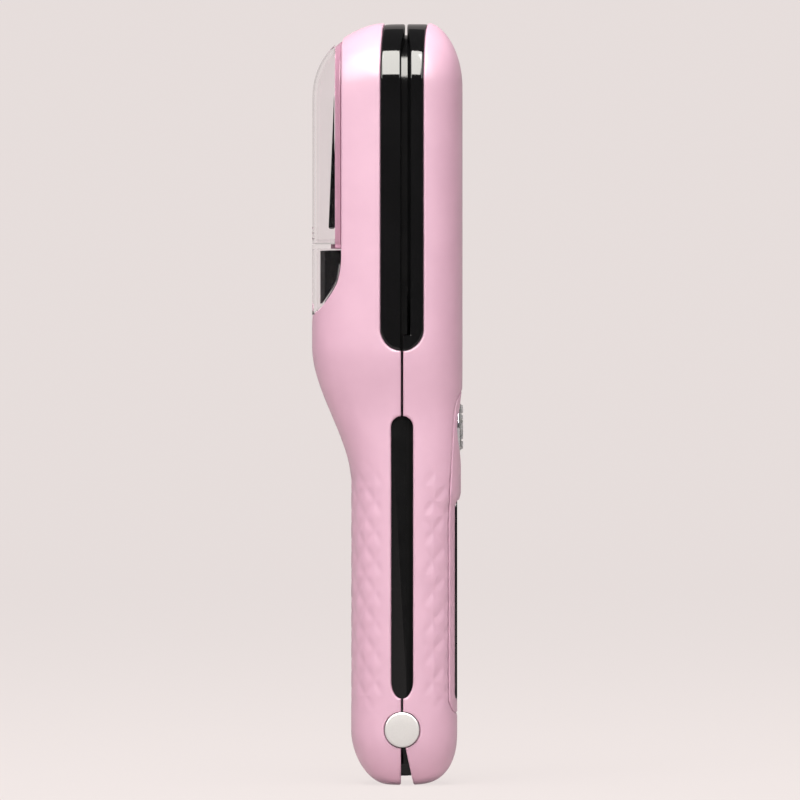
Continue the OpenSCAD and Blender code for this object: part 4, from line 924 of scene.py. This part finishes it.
surround = {
    "inner": 14.3, "outer": 17.3, "flange": 16.42, "near": 1.75, "seat": 2.6, "back": 3.3,
    "barX": 2.0, "barY": 15.6, "barZ": 72.0, "bar": (1.1, 0.5, 96.0),
}
surroundSection = (
    (surround["inner"], surround["seat"]), (surround["flange"], surround["seat"]),
    (surround["flange"], surround["near"] + 0.1), (surround["flange"] + 0.1, surround["near"]),
    (surround["flange"] + 0.25, surround["near"]), (surround["outer"], surround["seat"] + 0.1),
    (surround["outer"], surround["back"]), (surround["inner"], surround["back"]),
    (surround["inner"], surround["seat"]))
surroundRing = stadiumRing(surroundSection, lip["low"], lip["high"])
for way in (-1, 1):  # flanges of the handle plate, beside the other arm's tray
    addBlock(surroundRing, (surround["barX"], way * surround["barY"], surround["barZ"]), surround["bar"])
smoothedNode("press_arm_frame", "pressFrame", "press_arm", innerBlack, extra=surroundRing)
smoothedNode("cutter_housing", "cutterHousing", "cutter_arm", innerBlack)
smoothedNode("catch_block", "catchBlock", "cutter_arm", innerBlack, 20.0)

nodeFinishes = {
    "chamber_floor": softBlack, "comb_plate": bladeSteel, "fixed_blades": bladeSteel,
    "upper_bearing": turnedBrass, "lower_bearing": turnedBrass, "motor_can": screwSteel,
    "motor_mount": screwSteel, "battery_cell": cellSleeve, "battery_contacts": screwSteel,
    "motor_leads": wireRed, "cutter_arm_screws": screwSteel, "housing_screws": screwSteel,
    "motor_mount_screws": screwSteel, "hinge_pin": bladeSteel, "wave_washers": bladeSteel,
    "cutter_rotor": bladeSteel, "cutter_gear": gearAcetal, "motor_shaft": bladeSteel,
    "motor_pinion": turnedBrass, "hinge_bushes": turnedBrass, "display_module": displayGrey,
    "display_gasket": padRubber, "main_board": boardGreen, "board_screws": screwSteel,
    "tact_switch": displayGrey, "usb_port": screwSteel, "usb_board": boardGreen, "usb_screws": screwSteel,
    "spring_plate": screwSteel, "spring_plate_screws": screwSteel, "plate_springs": bladeSteel,
    "press_arm_screws": screwSteel, "board_leads": wireRed, "pressure_plate": softBlack,
    "pressure_pad": padRubber,
}
for node, finish in nodeFinishes.items():
    for slotItem in cadNodes[node].material_slots:
        slotItem.material = finish

print("studio")
studio = {
    "pale": (238, 229, 227), "paper": (212, 205, 203), "floorBack": 3600.0, "wallHigh": 4200.0,
    "bend": 900.0, "half": 3600.0, "front": 3600.0, "ambient": 0.28, "ambientGlossy": 0.12,
    "ambientSeen": 0.8, "shown": 0.9, "mirrored": 0.65, "cameraReach": 2500.0, "viewWide": 257.9,
    "viewX": 4.2, "viewZ": 123.6, "filmWide": 36.0, "room": (244, 240, 240), "paperRough": 0.9,
    "paperGloss": 0.1, "clipEnd": 20.0,
}


def makeBackdrop():  # one sheet: floor, a round bend and a back wall
    s = studio
    bm = bmesh.new()
    bendFrom = s["floorBack"] - s["bend"]
    line = [(-s["front"], 0.0), (bendFrom, 0.0)]
    for a in (math.radians(6 * i) for i in range(1, 16)):
        line.append((bendFrom + s["bend"] * math.sin(a), s["bend"] * (1 - math.cos(a))))
    line.append((s["floorBack"], s["wallHigh"]))
    points = [bm.verts.new((-s["half"], y, z)) for y, z in line]
    edges = [bm.edges.new(pair) for pair in zip(points, points[1:])]
    swept = bmesh.ops.extrude_edge_only(bm, edges=edges)["geom"]
    moved = [v for v in swept if isinstance(v, bmesh.types.BMVert)]
    bmesh.ops.translate(bm, vec=(2 * s["half"], 0, 0), verts=moved)
    bmesh.ops.recalc_face_normals(bm, faces=bm.faces[:])
    bm.transform(Matrix.Scale(mm, 4))
    mesh = bpy.data.meshes.new("backdrop")
    bm.to_mesh(mesh)
    bm.free()
    mesh.shade_smooth()
    backdrop = bpy.data.objects.new("backdrop", mesh)
    bpy.context.scene.collection.objects.link(backdrop)
    material = bpy.data.materials.new("palePaper")
    material.use_nodes = True
    tree = material.node_tree
    shader = tree.nodes["Principled BSDF"]
    shader.inputs["Base Color"].default_value = linearColour(s["paper"])
    shader.inputs["Roughness"].default_value = s["paperRough"]
    shader.inputs["Specular IOR Level"].default_value = s["paperGloss"]
    glow = addNode(tree, "ShaderNodeEmission", Color=linearColour(s["pale"]), Strength=1.0)
    path = addNode(tree, "ShaderNodeLightPath")
    reflected = addNode(tree, "ShaderNodeMath", operation="SUBTRACT", use_clamp=True)
    dimmed = addNode(tree, "ShaderNodeMath", operation="MULTIPLY_ADD")  # gloss sees a dimmer floor
    dimmed.inputs[1].default_value, dimmed.inputs[2].default_value = s["mirrored"] - 1.0, 1.0
    glossy = addNode(tree, "ShaderNodeMath", operation="MAXIMUM")
    either = addNode(tree, "ShaderNodeMath", operation="MAXIMUM")
    part = addNode(tree, "ShaderNodeMath", operation="MULTIPLY")
    part.inputs[1].default_value = s["shown"]
    mix = addNode(tree, "ShaderNodeMixShader")
    out = tree.nodes["Material Output"]
    rays = ("Glossy", "Transmission", "Camera")
    isGlossy, isClear, isCamera = (path.outputs[f"Is {kind} Ray"] for kind in rays)
    wire(
        tree, (isGlossy, glossy.inputs[0]), (isClear, glossy.inputs[1]),
        (glossy.outputs[0], either.inputs[0]), (isCamera, either.inputs[1]),
        (either.outputs[0], part.inputs[0]), (part.outputs[0], mix.inputs["Fac"]),
        (shader.outputs["BSDF"], mix.inputs[1]), (glow.outputs["Emission"], mix.inputs[2]),
        (isGlossy, reflected.inputs[0]), (isClear, reflected.inputs[1]),
        (reflected.outputs[0], dimmed.inputs[0]), (dimmed.outputs[0], glow.inputs["Strength"]),
        (mix.outputs["Shader"], out.inputs["Surface"]))
    mesh.materials.append(material)


makeBackdrop()


def softbox(name, centre, aim, wide, tall, watts, seenBy, tint):
    data = bpy.data.lights.new(name, "AREA")
    data.shape, data.size, data.size_y, data.energy = "RECTANGLE", wide, tall, watts
    data.color = linearColour(tint)[:3]
    lamp = bpy.data.objects.new(name, data)
    lamp.location = centre
    lamp.rotation_euler = (Vector(aim) - Vector(centre)).to_track_quat("-Z", "Y").to_euler()
    lamp.visible_diffuse, lamp.visible_glossy = seenBy
    bpy.context.scene.collection.objects.link(lamp)


headSpot = Vector((seamX * mm, -0.02, 0.23))
diffuseOnly, glossOnly = (True, False), (False, True)
warm, plain = (255, 252, 246), (255, 255, 255)
lamps = (  # name, turn to the right, rise, distance, width, height, watts, seen by, tint
    ("glossSoftbox", 0, 42, 1.25, 0.72, 1.1, 44.0, glossOnly, warm),
    ("leftWing", -37, 34, 1.25, 0.62, 1.1, 19.0, glossOnly, warm),
    ("rightWing", 32, 34, 1.25, 0.34, 1.1, 10.0, glossOnly, plain),
    ("frontFill", -14, 36, 1.0, 0.8, 0.8, 6.9, diffuseOnly, plain),
    ("topFill", -10, 76, 1.2, 1.0, 1.0, 27.8, diffuseOnly, warm))
for name, turn, rise, reach, wide, tall, watts, seenBy, tint in lamps:
    turn, rise = math.radians(turn), math.radians(rise)
    towards = Vector((math.sin(turn) * math.cos(rise), -math.cos(turn) * math.cos(rise), math.sin(rise)))
    softbox(name, headSpot + reach * towards, headSpot, wide, tall, watts, seenBy, tint)

world = bpy.data.worlds.new("room")
bpy.context.scene.world = world
world.use_nodes = True
world.cycles.sampling_method = "NONE"  # so that gloss sees the dim room only
roomTree = world.node_tree
roomLight = roomTree.nodes["Background"]
roomLight.inputs["Color"].default_value = linearColour(studio["room"])
roomPath = addNode(roomTree, "ShaderNodeLightPath")
glossyRoom = addNode(
    roomTree, "ShaderNodeMix", data_type="FLOAT", A=studio["ambient"], B=studio["ambientGlossy"])
seenRoom = addNode(roomTree, "ShaderNodeMix", data_type="FLOAT", B=studio["ambientSeen"])
seenDirect = addNode(roomTree, "ShaderNodeMath", operation="MAXIMUM")
wire(
    roomTree, (roomPath.outputs["Is Glossy Ray"], glossyRoom.inputs["Factor"]),
    (glossyRoom.outputs["Result"], seenRoom.inputs["A"]),
    (roomPath.outputs["Is Camera Ray"], seenDirect.inputs[0]),
    (roomPath.outputs["Is Transmission Ray"], seenDirect.inputs[1]),
    (seenDirect.outputs[0], seenRoom.inputs["Factor"]),
    (seenRoom.outputs["Result"], roomLight.inputs["Strength"]))

cameraData = bpy.data.cameras.new("camera")
cameraData.sensor_width = studio["filmWide"]
cameraData.lens = studio["filmWide"] * studio["cameraReach"] / studio["viewWide"]
cameraData.clip_end = studio["clipEnd"]
camera = bpy.data.objects.new("camera", cameraData)
camera.location = (studio["viewX"] * mm, -studio["cameraReach"] * mm, studio["viewZ"] * mm)
camera.rotation_euler = (math.pi / 2, 0, 0)
bpy.context.scene.collection.objects.link(camera)
bpy.context.scene.camera = camera
bpy.context.scene.view_settings.view_transform = "Standard"

bpy.context.view_layer.update()
